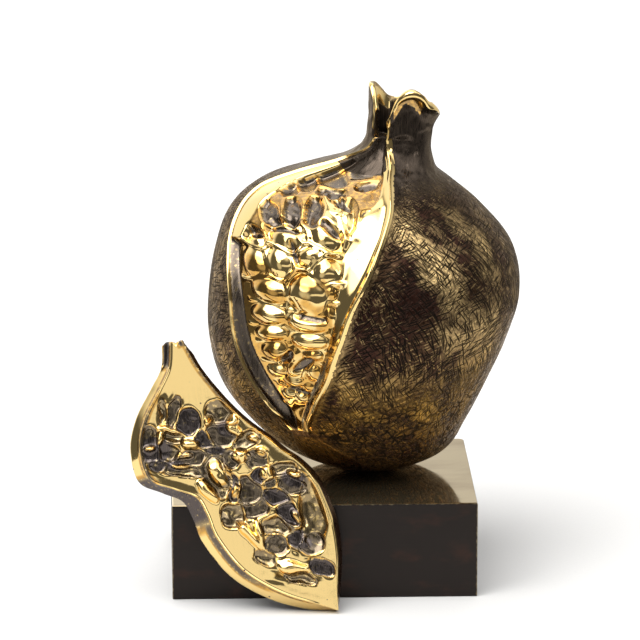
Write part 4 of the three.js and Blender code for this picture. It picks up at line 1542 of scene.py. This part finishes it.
    def grid(self) -> SkinGrid:
        """Build the whole casting: screw hole, foot, body, crown, rim and hollow.

        Returns:
            Its rows, from the screw hole to the hollow's floor.
        """
        grid = SkinGrid()
        body, marks = self.body_points()
        _, neck_radius, neck_drift = self.body[-1]
        angles = self.column_angles(np.array([self.collar]), np.array([neck_radius]))[0]
        turn = np.stack([np.sin(angles), -np.cos(angles)], axis=-1)
        plain = {
            Mark.POLISH: 0.0,
            Mark.TARNISH: self.inner_tarnish,
            Mark.SCORING: 0.0,
            Mark.RUBBING_AND_HIGHLIGHT: 0.0,
            Mark.SHADE: self.inner_shade,
            Mark.SMOOTH: 1.0,
            Mark.AROUND: angles * self.unrolled_radius,
            Mark.UP: float(marks[Mark.UP].max()),
        }
        for height in (self.hole_depth, 0.0):
            ring = np.column_stack([self.hole_radius * turn, np.full(len(angles), height)])
            grid.add(ring[None], plain)
        grid.add(body, marks)
        crown = Crown(
            collar=self.collar,
            neck_radius=neck_radius,
            neck_drift=neck_drift,
            notch=self.cut.lips[-1][1:],
            notch_depth=self.cut.neck_depth,
            ridge_rise=self.cut.ridge.amount,
            allowance=self.allowance,
        )
        crown.add_to(grid, angles, plain)
        self.add_hollow(grid, angles, plain)
        grid.rings = [ring + np.array([*self.place, self.level]) for ring in grid.rings]
        return grid

    def add_hollow(self, grid: SkinGrid, angles: Array, marks: Marks) -> None:
        """Add the hollow's rows from the throat down to its floor.

        Args:
            grid: the casting's rows so far.
            angles: the throat's angles, which the rows leave for evenly spaced ones.
            marks: the marks of the dark metal inside.
        """
        heights = np.linspace(self.hollow[-1][0], self.hollow[0][0], self.hollow_rows)[1:]
        radius, drift = smooth_columns(self.hollow, heights)
        shift = self.hollow_back_shift.before(heights)
        even = angles[0] + np.linspace(0, 2 * np.pi, len(angles), endpoint=False)
        for row, height in enumerate(heights):
            around = lerp(angles, even, min((row + 1) / self.evened_rows, 1))
            x = drift[row] + radius[row] * np.sin(around)
            y = shift[row] - radius[row] * np.cos(around)
            grid.add(np.stack([x, y, np.full_like(x, height)], axis=-1)[None], marks)

    def build(self, skin: Material, cut: Material) -> bpy.types.Object:
        """Make the casting and put it in the solid's place.

        Args:
            skin: finish of the uncut skin.
            cut: finish of the cut faces, the seeds and the crown's rim.

        Returns:
            The new piece.
        """
        piece = self.grid().to_object("opened_fruit", [skin, cut])
        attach(piece, "root")
        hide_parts("fruit")
        return piece


# ---- The wedge ----


@dataclass(frozen=True)
class RibPlaces:
    """Where the points of the wedge's face lie, with one rib a row, in the wedge's own plane.

    Rib numbers, widths and depths have one value a rib, and the rest has one a point.
    """

    number: Array
    cut_width: Array
    rind_width: Array
    bed: Array
    x: Array
    y: Array
    share: Array
    from_left: Array
    from_right: Array


@dataclass(frozen=True)
class WedgeFace:
    """The face of the wedge inside its polished band: pits and kernels in a sooty, rolling bed."""

    # Husks and kernels that stand up: x, y, half width, half height, tilt, rise.
    bumps: Mounds = Mounds((
        (-68.6, 68.4, 1.7, 3.4, -15, 2.2), (-57, 66, 4, 2.2, 0, 2.6), (-65.4, 71.6, 5, 1.2, -10, 1.6),
        (-50.4, 47.6, 5.7, 2.8, -45, 2.6), (-46.6, 54.6, 3.4, 6.6, 28, 3),
        (-37.5, 61.3, 3.8, 2.7, 10, 2.2), (-49.7, 75.3, 1.8, 2.6, -20, 1.8),
        (-40.4, 75.6, 2.2, 4.2, -30, 2.4), (-40, 71.4, 4, 2.2, -30, 2.4),
        (-32.4, 68.7, 2.7, 1.9, -20, 2.2), (-39.9, 47.5, 1.9, 3.4, 5, 2),
        (-60.9, 57.7, 4, 1.1, -5, 1.8), (-29.4, 63, 2.6, 2.4, 0, 2), (-34.8, 31, 2.2, 7.6, 38, 2.8),
        (-30.4, 31.2, 1.6, 5.6, 12, 2.4), (-15.9, 37.3, 1.8, 3.8, 25, 2),
        (-17.7, 17.6, 6.4, 2.8, -5, 2.6), (-16.8, 54.4, 3.3, 1.7, 0, 2),
        (-27.3, 54.3, 3.3, 3.2, 0, 2.2), (-42.6, 55.4, 1.6, 3.8, 30, 1.6),
        (-59.4, 61.4, 3.6, 1.2, 0, 1.6), (-73, 64.4, 2.4, 1.4, 0, 1.8),
        (-15.4, 33.6, 2.2, 1.1, 0, 1.2),
    ), roundness=0.75)  # fmt: skip
    # Hollows left by seeds, in the same form with a depth.
    pits: Mounds = Mounds((
        (-67.4, 78.2, 1.5, 4, 8, 2), (-63.9, 78.2, 2.2, 5, -20, 2.4), (-57.8, 74.7, 3.8, 4.4, 0, 2.6),
        (-45.2, 78, 4.8, 4.2, -10, 2.2), (-45, 69.6, 5.4, 3.8, 15, 2.4),
        (-51.5, 67.4, 3.6, 2.5, -35, 2.2), (-64, 68.6, 3.2, 1.6, -8, 1.8), (-73.4, 68, 3, 4.4, 0, 2),
        (-72.6, 62.4, 3.6, 2.5, 0, 2.2), (-66, 62.4, 4, 2.8, -10, 2.2),
        (-57.5, 60.4, 5.6, 2.4, 5, 2.2), (-69.6, 57.4, 2.6, 1.4, 0, 1.6),
        (-59, 55.4, 6.2, 1.5, -4, 1.6), (-41.4, 60, 2.8, 2.6, -30, 2.2),
        (-47.5, 63.4, 2.8, 1.3, -5, 1.6), (-46.4, 53.6, 4.4, 7.2, 28, 1.6),
        (-34.4, 47.6, 4.2, 4.6, -10, 2.6), (-30.6, 53, 2.6, 2.6, -30, 2),
        (-35.6, 67.6, 4.6, 2.4, 28, 2.2), (-31.8, 60.2, 3.4, 3, 0, 2), (-40.4, 48.4, 2.3, 4.4, 8, 2),
        (-40.6, 38.3, 3.8, 4.2, 5, 2.4), (-31.8, 40.9, 4.6, 3.1, 20, 2.4),
        (-23.9, 45.3, 4.6, 3.1, -20, 2.6), (-20.9, 56, 4.2, 2.1, 8, 2),
        (-18.3, 49.6, 4.8, 2.6, -10, 2.4), (-19.4, 38.7, 3, 4.8, 30, 2.4),
        (-23.2, 33.6, 4.8, 2.9, 0, 2.4), (-23.8, 26.6, 3.7, 3.2, 0, 2.2),
        (-15.4, 28.9, 3.4, 2.5, 0, 2), (-28.4, 21.4, 3.3, 2, -25, 1.6), (-10.4, 27, 4, 3.6, 0, 2.2),
        (-5.8, 17.4, 4.6, 2.1, -15, 1.6), (-14.4, 13.4, 4.6, 1.6, -12, 1.6),
        (-25.6, 50.4, 2.2, 1.6, 0, 1.6),
    ), squareness=2.4, swell=1.08)  # fmt: skip
    # Where smoke covers the ridges between the hollows too, in the same form with an amount.
    sooty: Mounds = Mounds((
        (-71, 64, 10, 8, 0, 1.4), (-63, 58, 9, 5, -8, 1.1), (-43, 72, 7, 6, 0, 1.2),
        (-31, 60, 7, 4, -30, 0.8), (-45, 54, 5, 9, 28, 1.1), (-17, 52, 9, 6, -20, 1.2),
        (-13, 27, 8, 5, 0, 1.1), (-21, 15, 9, 4, 0, 0.7),
    ), roundness=0.7)  # fmt: skip
    # The smooth trough where the membrane was, in the same form.
    trough: Mounds = Mounds(((-9.7, 38.6, 5.6, 14.5, 3, 3.4),), roundness=0.8)
    edge_drop: float = 4.6
    cut_curve: float = 0.9
    rind_curve: float = 1.4
    settle: float = 2.2
    bed_settle: float = 3.0
    # All outlines wander a little.
    sideways: Waves = Waves(4.4, 1.3, 0.9)
    upwards: Waves = Waves(4.4, 7.7, 0.9)
    pit_ridge: Step = Step(0.35, 0.91)
    pit_wall: float = 1.2
    pit_spread: float = 1.5
    pit_power: float = 0.5
    # Some hollows still hold a rounded kernel, and every third is empty.
    kernel_rise: float = 1.1
    kernel_power: float = 0.7
    kernel_cycle: int = 3
    # The bed between the hollows rolls and sinks.
    crowd: Step = Step(0.2, 1.8)
    crowd_edge: Step = Step(1.6, 4.0)
    rolls: tuple[Waves, Waves] = (Waves(7.0, 2.2, 0.8), Waves(3.2, 4.9, 0.5))
    sinking: float = 0.5
    sinks: Waves = Waves(6.0, 8.8, 0.9)
    softening: int = 2
    # Smoke: in the hollows, on what is covered or low, in patches, and along the trough.
    pit_smoke: Triple = (0.8, 0.9, 1.0)
    smoky_floors: Step = Step(0.1, 0.45)
    bare_kernels: Step = Step(1.0, 2.2)
    low_smoke: Step = Step(0.1, -0.5, 0.85)
    patches: Waves = Waves(8.0, 5.5)
    patch_smoke: Step = Step(-0.1, 0.35, 0.9)
    cover_edge: Step = Step(0.5, 0.9)
    bare_bumps: Step = Step(0.6, 1.6)
    trough_smoke: Step = Step(0.3, 1.2, 0.72)
    smoke_settle: float = 2.0

    def relief(self, at: RibPlaces) -> tuple[Array, Array]:
        """Shape the face.

        Args:
            at: the points' places.

        Returns:
            Height above the face's rim, and tarnish.
        """
        inset = np.minimum(at.from_left - at.cut_width, at.from_right - at.rind_width)
        settle = Step(0, self.settle).at(inset)
        place = np.stack([at.x, at.y, np.zeros_like(at.x)], axis=-1)
        x, y = at.x + self.sideways.at(place), at.y + self.upwards.at(place)
        number, beyond, farther = self.pits.nearest(x, y)
        valley = self.crowd_edge.before(farther + np.clip(beyond, 0, None))
        between = self.crowd.before(beyond) * valley
        shares = self.pits.shares(x, y).min(axis=0)
        fall, floors = self.pits.cells(x, y, self.pit_ridge, self.pit_wall)
        fall = fall * np.clip(1 - shares / self.pit_spread, 0, 1) ** self.pit_power
        holds_kernel = number % self.kernel_cycle != 0
        kernel = self.kernel_rise * holds_kernel * np.clip(1 - shares, 0, 1) ** self.kernel_power
        rise = self.bumps.rise(x, y)
        trough = self.trough.rise(x, at.y)
        covered = np.clip(self.sooty.rise(at.x, at.y), 0, 1)
        inside = np.maximum.reduce([between, floors, covered])
        rolling = inside * sum(waves.at(place) for waves in self.rolls)
        sunk = between * (1 - floors) * (self.sinking + self.sinks.at(place))
        relief = softened(rise - fall - trough + kernel + rolling - sunk, self.softening)
        height = settle * relief - Step(0, self.bed_settle * self.settle).at(inset) * at.bed
        left = -self.edge_drop * np.clip(1 - at.from_left / at.cut_width, 0, 1) ** self.cut_curve
        right = -self.edge_drop * np.clip(1 - at.from_right / at.rind_width, 0, 1) ** self.rind_curve
        height = np.where(at.from_right < at.rind_width, right, height)
        height = np.where(at.from_left < at.cut_width, left, height)
        smoke = np.array(self.pit_smoke)[number % len(self.pit_smoke)]
        low = self.smoky_floors.at(floors) * self.bare_kernels.before(rise) * smoke
        patches = self.patch_smoke.at(self.patches.at(place))
        sooty = np.maximum.reduce([covered, self.low_smoke.at(rolling), patches])
        beside = np.maximum(between, self.cover_edge.at(covered)) * sooty * self.bare_bumps.before(rise)
        tarnish = np.maximum.reduce([low, beside, self.trough_smoke.at(trough)])
        return height, np.clip(self.smoke_settle * settle, 0, 1) * tarnish


@dataclass(frozen=True)
class WedgeCasting:
    """The wedge cut out of the fruit, leaning back against the block.

    It is drawn in its own plane. Each rib runs from the lower left edge to the upper right edge,
    and the ribs are numbered from the calyx down to the tip.
    """

    low_corner: Triple
    lean: float = 14.0
    face: WedgeFace = WedgeFace()
    # Left x and y, right x and y of each rib.
    ribs: Table = (
        (-67.9, 105.6, -58.5, 106.8), (-68.2, 96, -53, 96.5), (-72.5, 87.3, -46.5, 88),
        (-78.3, 76, -39.7, 80.5), (-80.6, 64, -33, 74.5), (-77.5, 51.5, -25.5, 69),
        (-68.5, 47, -19.5, 64), (-60.3, 43.5, -13.5, 59.8), (-56.3, 36.5, -7.5, 53.5),
        (-52.4, 27.2, -3.2, 45), (-42, 14.2, 0.3, 35), (-27.4, 5.4, 1.7, 22.5), (-13, 1.2, 1.2, 11),
        (-0.4, 0.3, 0.2, 1.5),
    )  # fmt: skip
    # Rib number, width of the cut edge, width of the rind's edge, depth of the bed, thickness.
    zones: Table = (
        (0, 3.6, 1.5, 0.05, 2.5), (1, 3.2, 1.6, 0.05, 3.2), (2, 3.6, 1.8, 0.05, 4),
        (3.5, 4, 2, 0.2, 5.5), (5, 4.4, 2.2, 0.3, 5.8), (7, 5.8, 2.4, 0.3, 5.8),
        (10, 5.8, 3, 0.25, 5.5), (12, 4.6, 2.2, 0.2, 4), (13, 0.5, 0.4, 0.1, 1),
    )  # fmt: skip
    back_curve: float = 0.7
    allowance: float = 0.02
    rows: int = 300
    face_columns: int = 190
    band_columns: int = 12
    rind_columns: int = 10
    back_columns: int = 60
    # The calyx end, by shares of its rib: its notch, its rounded ends and its hollow lip. Painted
    # shade darkens the hollow lip, and a dark patch of painted shade stands where a curl would be,
    # which the shape doesn't have.
    notch: Bell = Bell(0.57, 0.1, 1.9)
    notch_ribs: float = 0.6
    left_rounding: Step = Step(0, 0.2, 1.2)
    right_rounding: Step = Step(0.85, 1.0, 2.0)
    lip_hollow: float = 1.3
    lip_ribs: Step = Step(0.8, 1.3)
    lip_hollow_painted_shade: Band = Band(0.08, 0.2, 0.78, 0.9)
    curl: Bell = Bell(0.74, 0.1)
    curl_shade_ribs: Step = Step(0.12, 0.3)
    # The band's crisp inner rim, with a dark line painted along it: painted shade of a groove that
    # the shape doesn't cut.
    rim_bead: Bell = Bell(0, 0.45, 0.4)
    crisp_ribs: Step = Step(11.4, 12.3)
    line: Bell = Bell(-0.8, 0.3, 0.9)
    # Painted dark reflection on the band, marked as tarnish: round its corner, and in a strip below.
    corner_reflection_ribs: Band = Band(4.7, 5.1, 8.0, 9.0)
    strip_reflection_ribs: Band = Band(8.0, 8.6, 10.0, 11.2)
    strip_reflection_start: Step = Step(0.4, 0.65, 0.95)
    # Tarnish beside the band and along the rind.
    border_ribs: Band = Band(1.6, 3.4, 4.9, 5.6)
    border_width: Step = Step(0.6, 2.6, 0.9)
    rind_line: Bell = Bell(0, 1.1, 0.75)
    rind_ribs: Step = Step(2.6, 3.6)
    polished_rind: float = 0.55

    def top_dip(self, share: Array) -> Array:
        """Give the calyx end's drop along its rib: rounded at both ends, with a notch between."""
        ends = self.left_rounding.before(share) + self.right_rounding.at(share)
        return self.notch.at(share) + ends

    def band_tarnish_and_painted_light(self, at: RibPlaces, face: Array) -> Array:
        """Add the tarnish of the band and of the face's borders to the face's own, with the band's
        painted dark reflection and painted shade.

        Args:
            at: the points' places.
            face: the face's tarnish.

        Returns:
            The whole tarnish.
        """
        on_band = (at.from_left < at.cut_width) * 1.0
        across, rim_gap = at.from_left / at.cut_width, at.from_left - at.cut_width
        # Painted shade in the hollow lip.
        hollow = self.lip_ribs.before(at.number) * self.lip_hollow_painted_shade.at(across)
        # The corner and the strip are painted dark reflection.
        strip = self.strip_reflection_ribs.at(at.number) * self.strip_reflection_start.at(across)
        # The dark line by the rim is painted shade.
        line = self.crisp_ribs.before(at.number) * self.line.at(rim_gap)
        band = np.maximum(self.corner_reflection_ribs.at(at.number), np.maximum.reduce([hollow, strip, line]))
        # A dark patch of painted shade where a curl would be.
        curl = self.curl.at(at.share) * self.curl_shade_ribs.before(at.number)
        rind = self.rind_line.at(at.from_right - at.rind_width) * self.rind_ribs.before(at.number)
        border = self.border_ribs.at(at.number) * self.border_width.before(rim_gap)
        return np.maximum.reduce([face, on_band * band, curl, rind, (1 - on_band) * border])

    def points(self) -> tuple[Array, Marks]:
        """Build the closed ribs from the calyx to the tip, in the wedge's own plane.

        Returns:
            Their points, shaped (ribs, columns, 3), and their marks.
        """
        rib_table = tuple((number, *rib) for number, rib in enumerate(self.ribs))
        numbers = np.linspace(0, len(self.ribs) - 1, self.rows)
        left_x, left_y, right_x, right_y = (
            side[:, None] for side in smooth_columns(rib_table, numbers)
        )
        cut_width, rind_width, bed, thickness = (
            size[:, None] for size in smooth_columns(self.zones, numbers)
        )
        length = np.hypot(right_x - left_x, right_y - left_y)
        band = np.linspace(0, 1, self.band_columns, endpoint=False)
        inner = np.linspace(0, 1, self.face_columns - self.band_columns - self.rind_columns)
        rind = np.linspace(0, 1, self.rind_columns, endpoint=False)[::-1]
        middle = lerp(cut_width, length - rind_width, inner)
        distance = np.concatenate([cut_width * band, middle, length - rind_width * rind], axis=1)
        share = distance / length
        at = RibPlaces(
            number=numbers[:, None],
            cut_width=cut_width,
            rind_width=rind_width,
            bed=bed,
            x=lerp(left_x, right_x, share),
            y=lerp(left_y, right_y, share),
            share=share,
            from_left=distance,
            from_right=length - distance,
        )
        height, tarnish = self.face.relief(at)
        lip = self.lip_ribs.before(at.number) * np.sin(np.pi * np.clip(distance / cut_width, 0, 1))
        bead = self.crisp_ribs.before(at.number) * self.rim_bead.at(distance - cut_width)
        height = height - self.lip_hollow * lip + bead
        fade = Step(0, self.notch_ribs).before(at.number)
        y = at.y - fade * self.top_dip(share)
        back = 1 - np.arange(1, self.back_columns) / self.back_columns
        back_x = lerp(left_x, right_x, back)
        back_y = lerp(left_y, right_y, back) - fade * self.top_dip(back)
        bulge = thickness * np.sin(np.pi * back) ** self.back_curve
        front = np.stack([at.x, y, height], axis=-1)
        rear = np.stack([back_x, back_y, -self.face.edge_drop - bulge], axis=-1)
        on_face = (distance < length - self.polished_rind * rind_width).astype(float)
        no_face, no_back = np.zeros_like(at.x), np.zeros_like(back_x)
        marks = {
            Mark.POLISH: np.concatenate([on_face, no_back], axis=1),
            Mark.TARNISH: np.concatenate([self.band_tarnish_and_painted_light(at, tarnish), no_back], axis=1),
            Mark.SCORING: np.concatenate([no_face, no_back + 1], axis=1),
            Mark.RUBBING_AND_HIGHLIGHT: 0.0,
            Mark.SHADE: 0.0,
            Mark.SMOOTH: 0.0,
            Mark.AROUND: np.concatenate([at.x, back_x], axis=1),
            Mark.UP: np.concatenate([y, back_y], axis=1),
        }
        return np.concatenate([front, rear], axis=1), marks

    def build(self, skin: Material, cut: Material) -> bpy.types.Object:
        """Make the casting and lean it against the block.

        Args:
            skin: finish of the rind behind.
            cut: finish of the face.

        Returns:
            The new piece.
        """
        points, marks = self.points()
        turn = np.array(Euler((math.radians(90 - self.lean), 0, 0)).to_matrix())
        stood = points @ turn.T
        stood += np.array(self.low_corner) + self.allowance - stood.min(axis=(0, 1))
        grid = SkinGrid()
        grid.add(stood, marks)
        piece = grid.to_object("cut_wedge", [skin, cut])
        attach(piece, "root")
        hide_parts("wedge")
        return piece


# ---- The block and its fixing ----


@dataclass(frozen=True)
class Dressing:
    """A solid that keeps its shape and gets its finish."""

    node: str
    finish: Material

    def apply(self) -> bpy.types.Object:
        """Put the finish in place of the solid's own materials.

        Returns:
            The dressed piece.
        """
        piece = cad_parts[self.node]
        piece.data.materials.clear()
        piece.data.materials.append(self.finish)
        return piece


# ---- The studio ----


def direction(azimuth: float, elevation: float) -> Triple:
    """Give a unit vector from the sculpture.

    Args:
        azimuth: its turn in degrees, 0 towards the front and positive to the right.
        elevation: its angle above the floor in degrees.

    Returns:
        The vector's x, y and z.
    """
    turn, rise = math.radians(azimuth), math.radians(elevation)
    level = math.cos(rise)
    return (level * math.sin(turn), -level * math.cos(turn), math.sin(rise))


@dataclass(frozen=True)
class SoftBox:
    """A soft studio light, placed by its direction from the sculpture and aimed at it.

    Angles are in degrees and sizes in metres.
    """

    name: str
    azimuth: float
    elevation: float
    distance: float
    width: float
    height: float
    radiance: float

    def build(self, target: Vector) -> None:
        """Make the light.

        Args:
            target: the point that it faces, in metres.
        """
        light = bpy.data.lights.new(self.name, "AREA")
        light.shape = "RECTANGLE"
        light.size, light.size_y = self.width, self.height
        light.energy = self.radiance * math.pi * self.width * self.height
        lamp = bpy.data.objects.new(self.name, light)
        way = direction(self.azimuth, self.elevation)
        reach = Vector([self.distance * part for part in way])
        lamp.location = target + reach
        lamp.rotation_euler = reach.to_track_quat("Z", "Y").to_euler()
        lamp.visible_camera = False
        bpy.context.scene.collection.objects.link(lamp)


@dataclass(frozen=True)
class Glow:
    """A soft round patch of light on the room's wall, by its direction and its angles in degrees."""

    azimuth: float
    elevation: float
    inner: float
    outer: float
    radiance: float


@dataclass(frozen=True)
class FloorSheet:
    """A round sheet of the floor in metres: a disc, or a ring where its inner radius is above 0."""

    name: str
    inner: float
    outer: float
    mirrored: bool
    corners: int = 96

    def build(self, paper: Material) -> None:
        """Make the sheet.

        Args:
            paper: its finish.
        """
        turn = np.linspace(0, 2 * np.pi, self.corners, endpoint=False)
        circle = np.stack([np.sin(turn), -np.cos(turn), 0 * turn], axis=-1)
        points, faces = circle * self.outer, [list(range(self.corners))]
        if self.inner:
            points = np.concatenate([points, circle * self.inner])
            following = [(i + 1) % self.corners for i in range(self.corners)]
            faces = [[i, j, j + self.corners, i + self.corners] for i, j in enumerate(following)]
        mesh = bpy.data.meshes.new(self.name)
        mesh.from_pydata(points.tolist(), [], faces)
        mesh.materials.append(paper)
        sheet = bpy.data.objects.new(self.name, mesh)
        sheet.visible_glossy = self.mirrored
        bpy.context.scene.collection.objects.link(sheet)


@dataclass(frozen=True)
class Studio:
    """Pale floor, soft light and the camera."""

    target: Triple = (0.0, 0.0, 0.095)
    camera_place: Triple = (-66.7, -1907.8, 616.0)
    camera_pitch: float = 15.09
    camera_yaw: float = -1.99
    lens: float = 280.0
    sensor: float = 36.0
    clip_end: float = 20.0
    # The metal mirrors only the floor close to it.
    sheets: tuple[FloorSheet, ...] = (
        FloorSheet("near_floor", 0.0, 0.36, True),
        FloorSheet("far_floor", 0.36, 6.0, False),
    )
    # The room brightens from the walls to the ceiling, between two elevations in degrees.
    dimmest: float = 0.12
    ceiling: float = 0.36
    ceiling_rise: Pair = (26.0, 66.0)
    # A white card stands in front: its elevations in degrees, and its edges by cosine from ahead.
    card_low: Pair = (6.0, 10.0)
    card_high: Pair = (16.0, 20.0)
    card_front: Triple = (0.0, -1.0, 0.0)
    card_edge: Ramp = (0.85, 0.93, 0.0, 0.9)
    glows: tuple[Glow, ...] = (
        Glow(-60, 67, 24, 32, 4.8),
        Glow(-52, 36, 11, 19, 2.8),
        Glow(-45, 4, 8, 24, 0.55),
        Glow(-145, 12, 20, 40, 1.1),
        Glow(168, 16, 16, 38, 0.5),
        Glow(122, 0, 14, 38, 0.6),
        Glow(80, 50, 12, 30, 1.3),
        Glow(35, 58, 12, 30, 0.7),
        Glow(176, 54, 15, 24, 1.6),
    )
    boxes: tuple[SoftBox, ...] = (SoftBox("right_box", 60, 24, 1.3, 0.25, 0.6, 3.0),)

    def floor(self) -> None:
        """Make the floor: a round sheet that reflections see, and the rest of it that they don't."""
        paper = MattPaper().build()
        for sheet in self.sheets:
            sheet.build(paper)

    def world(self) -> None:
        """Make the room: dark in front, with the large lamps, a card and lit walls as soft glows."""
        world = bpy.data.worlds.new("studio_room")
        bpy.context.scene.world = world
        world.use_nodes = True
        room = Nodes.over(world.node_tree)
        way = room.add("TexCoord").outputs["Generated"]
        upward = room.add("SeparateXYZ", {0: way}).outputs["Z"]
        rise, low, high = (
            [math.sin(math.radians(elevation)) for elevation in pair]
            for pair in (self.ceiling_rise, self.card_low, self.card_high)
        )
        bright = room.span(upward, *rise, self.dimmest, self.ceiling)
        for glow in self.glows:
            facing = room.vector("DOT_PRODUCT", way, direction(glow.azimuth, glow.elevation))
            edges = (math.cos(math.radians(angle)) for angle in (glow.outer, glow.inner))
            lit = room.span(facing, *edges, 0.0, glow.radiance)
            bright = room.maths("ADD", bright, lit, clamp=False)
        card = room.maths("MULTIPLY", room.span(upward, *low, 0.0, 1.0), room.span(upward, *high, 1.0, 0.0))
        ahead = room.span(room.vector("DOT_PRODUCT", way, self.card_front), *self.card_edge)
        bright = room.maths("ADD", bright, room.maths("MULTIPLY", card, ahead), clamp=False)
        lit = room.add("Background", {"Color": linear("ffffff"), "Strength": bright}).outputs[0]
        # The camera sees plain white behind the floor.
        seen = room.add("Background", {"Color": linear("ffffff"), "Strength": 1.0}).outputs[0]
        camera_ray = room.add("LightPath").outputs["Is Camera Ray"]
        mix = room.add("MixShader", {0: camera_ray, 1: lit, 2: seen}).outputs[0]
        room.add("OutputWorld", {"Surface": mix})

    def camera(self) -> None:
        """Make the camera and use it."""
        data = bpy.data.cameras.new("camera")
        data.lens = self.lens
        data.sensor_width = self.sensor
        data.clip_end = self.clip_end
        camera = bpy.data.objects.new("camera", data)
        camera.location = Vector(self.camera_place) * MM
        camera.rotation_euler = (math.radians(90 - self.camera_pitch), 0, math.radians(self.camera_yaw))
        bpy.context.scene.collection.objects.link(camera)
        bpy.context.scene.camera = camera

    def build(self) -> None:
        """Make the whole studio."""
        self.floor()
        self.world()
        for box in self.boxes:
            box.build(Vector(self.target))
        self.camera()
        bpy.context.scene.view_settings.view_transform = "Standard"


def main() -> None:
    """Build the pieces in order and set the stage."""
    logging.basicConfig(level=logging.INFO, format="%(message)s")
    block_low, block_high = (np.array(corner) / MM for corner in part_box("block"))
    fruit_low, wedge_low = (np.array(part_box(node)[0]) / MM for node in ("fruit", "wedge"))
    skin = ScoredPatina().build()
    cut = PolishedBrass().build()
    fruit = FruitCasting(level=float(fruit_low[2])).build(skin, cut)
    LOG.info("fruit: %d faces", len(fruit.data.polygons))
    wedge = WedgeCasting(low_corner=tuple(wedge_low)).build(skin, cut)
    LOG.info("wedge: %d faces", len(wedge.data.polygons))
    half = (block_high - block_low) / 2
    patina = BlockPatina(float(half[0]), float(half[1]), float(block_high[2])).build()
    zinc = TurnedMetal("zinc_plated_steel", "a9adb0", "8e9396", gloss=(0.3, 0.7, 0.3, 0.42)).build()
    brass = TurnedMetal("stamped_brass", "d0b46c", "b0904c", gloss=(0.3, 0.7, 0.34, 0.46)).build()
    dressings = (
        Dressing("block", patina), Dressing("fruit_screw", zinc), Dressing("fruit_washer", brass),
    )  # fmt: skip
    for dressing in dressings:
        piece = dressing.apply()
        LOG.info("%s: %s", piece.name, dressing.finish.name)
    Studio().build()
    LOG.info("studio: ready")


if __name__ == "__main__":
    main()
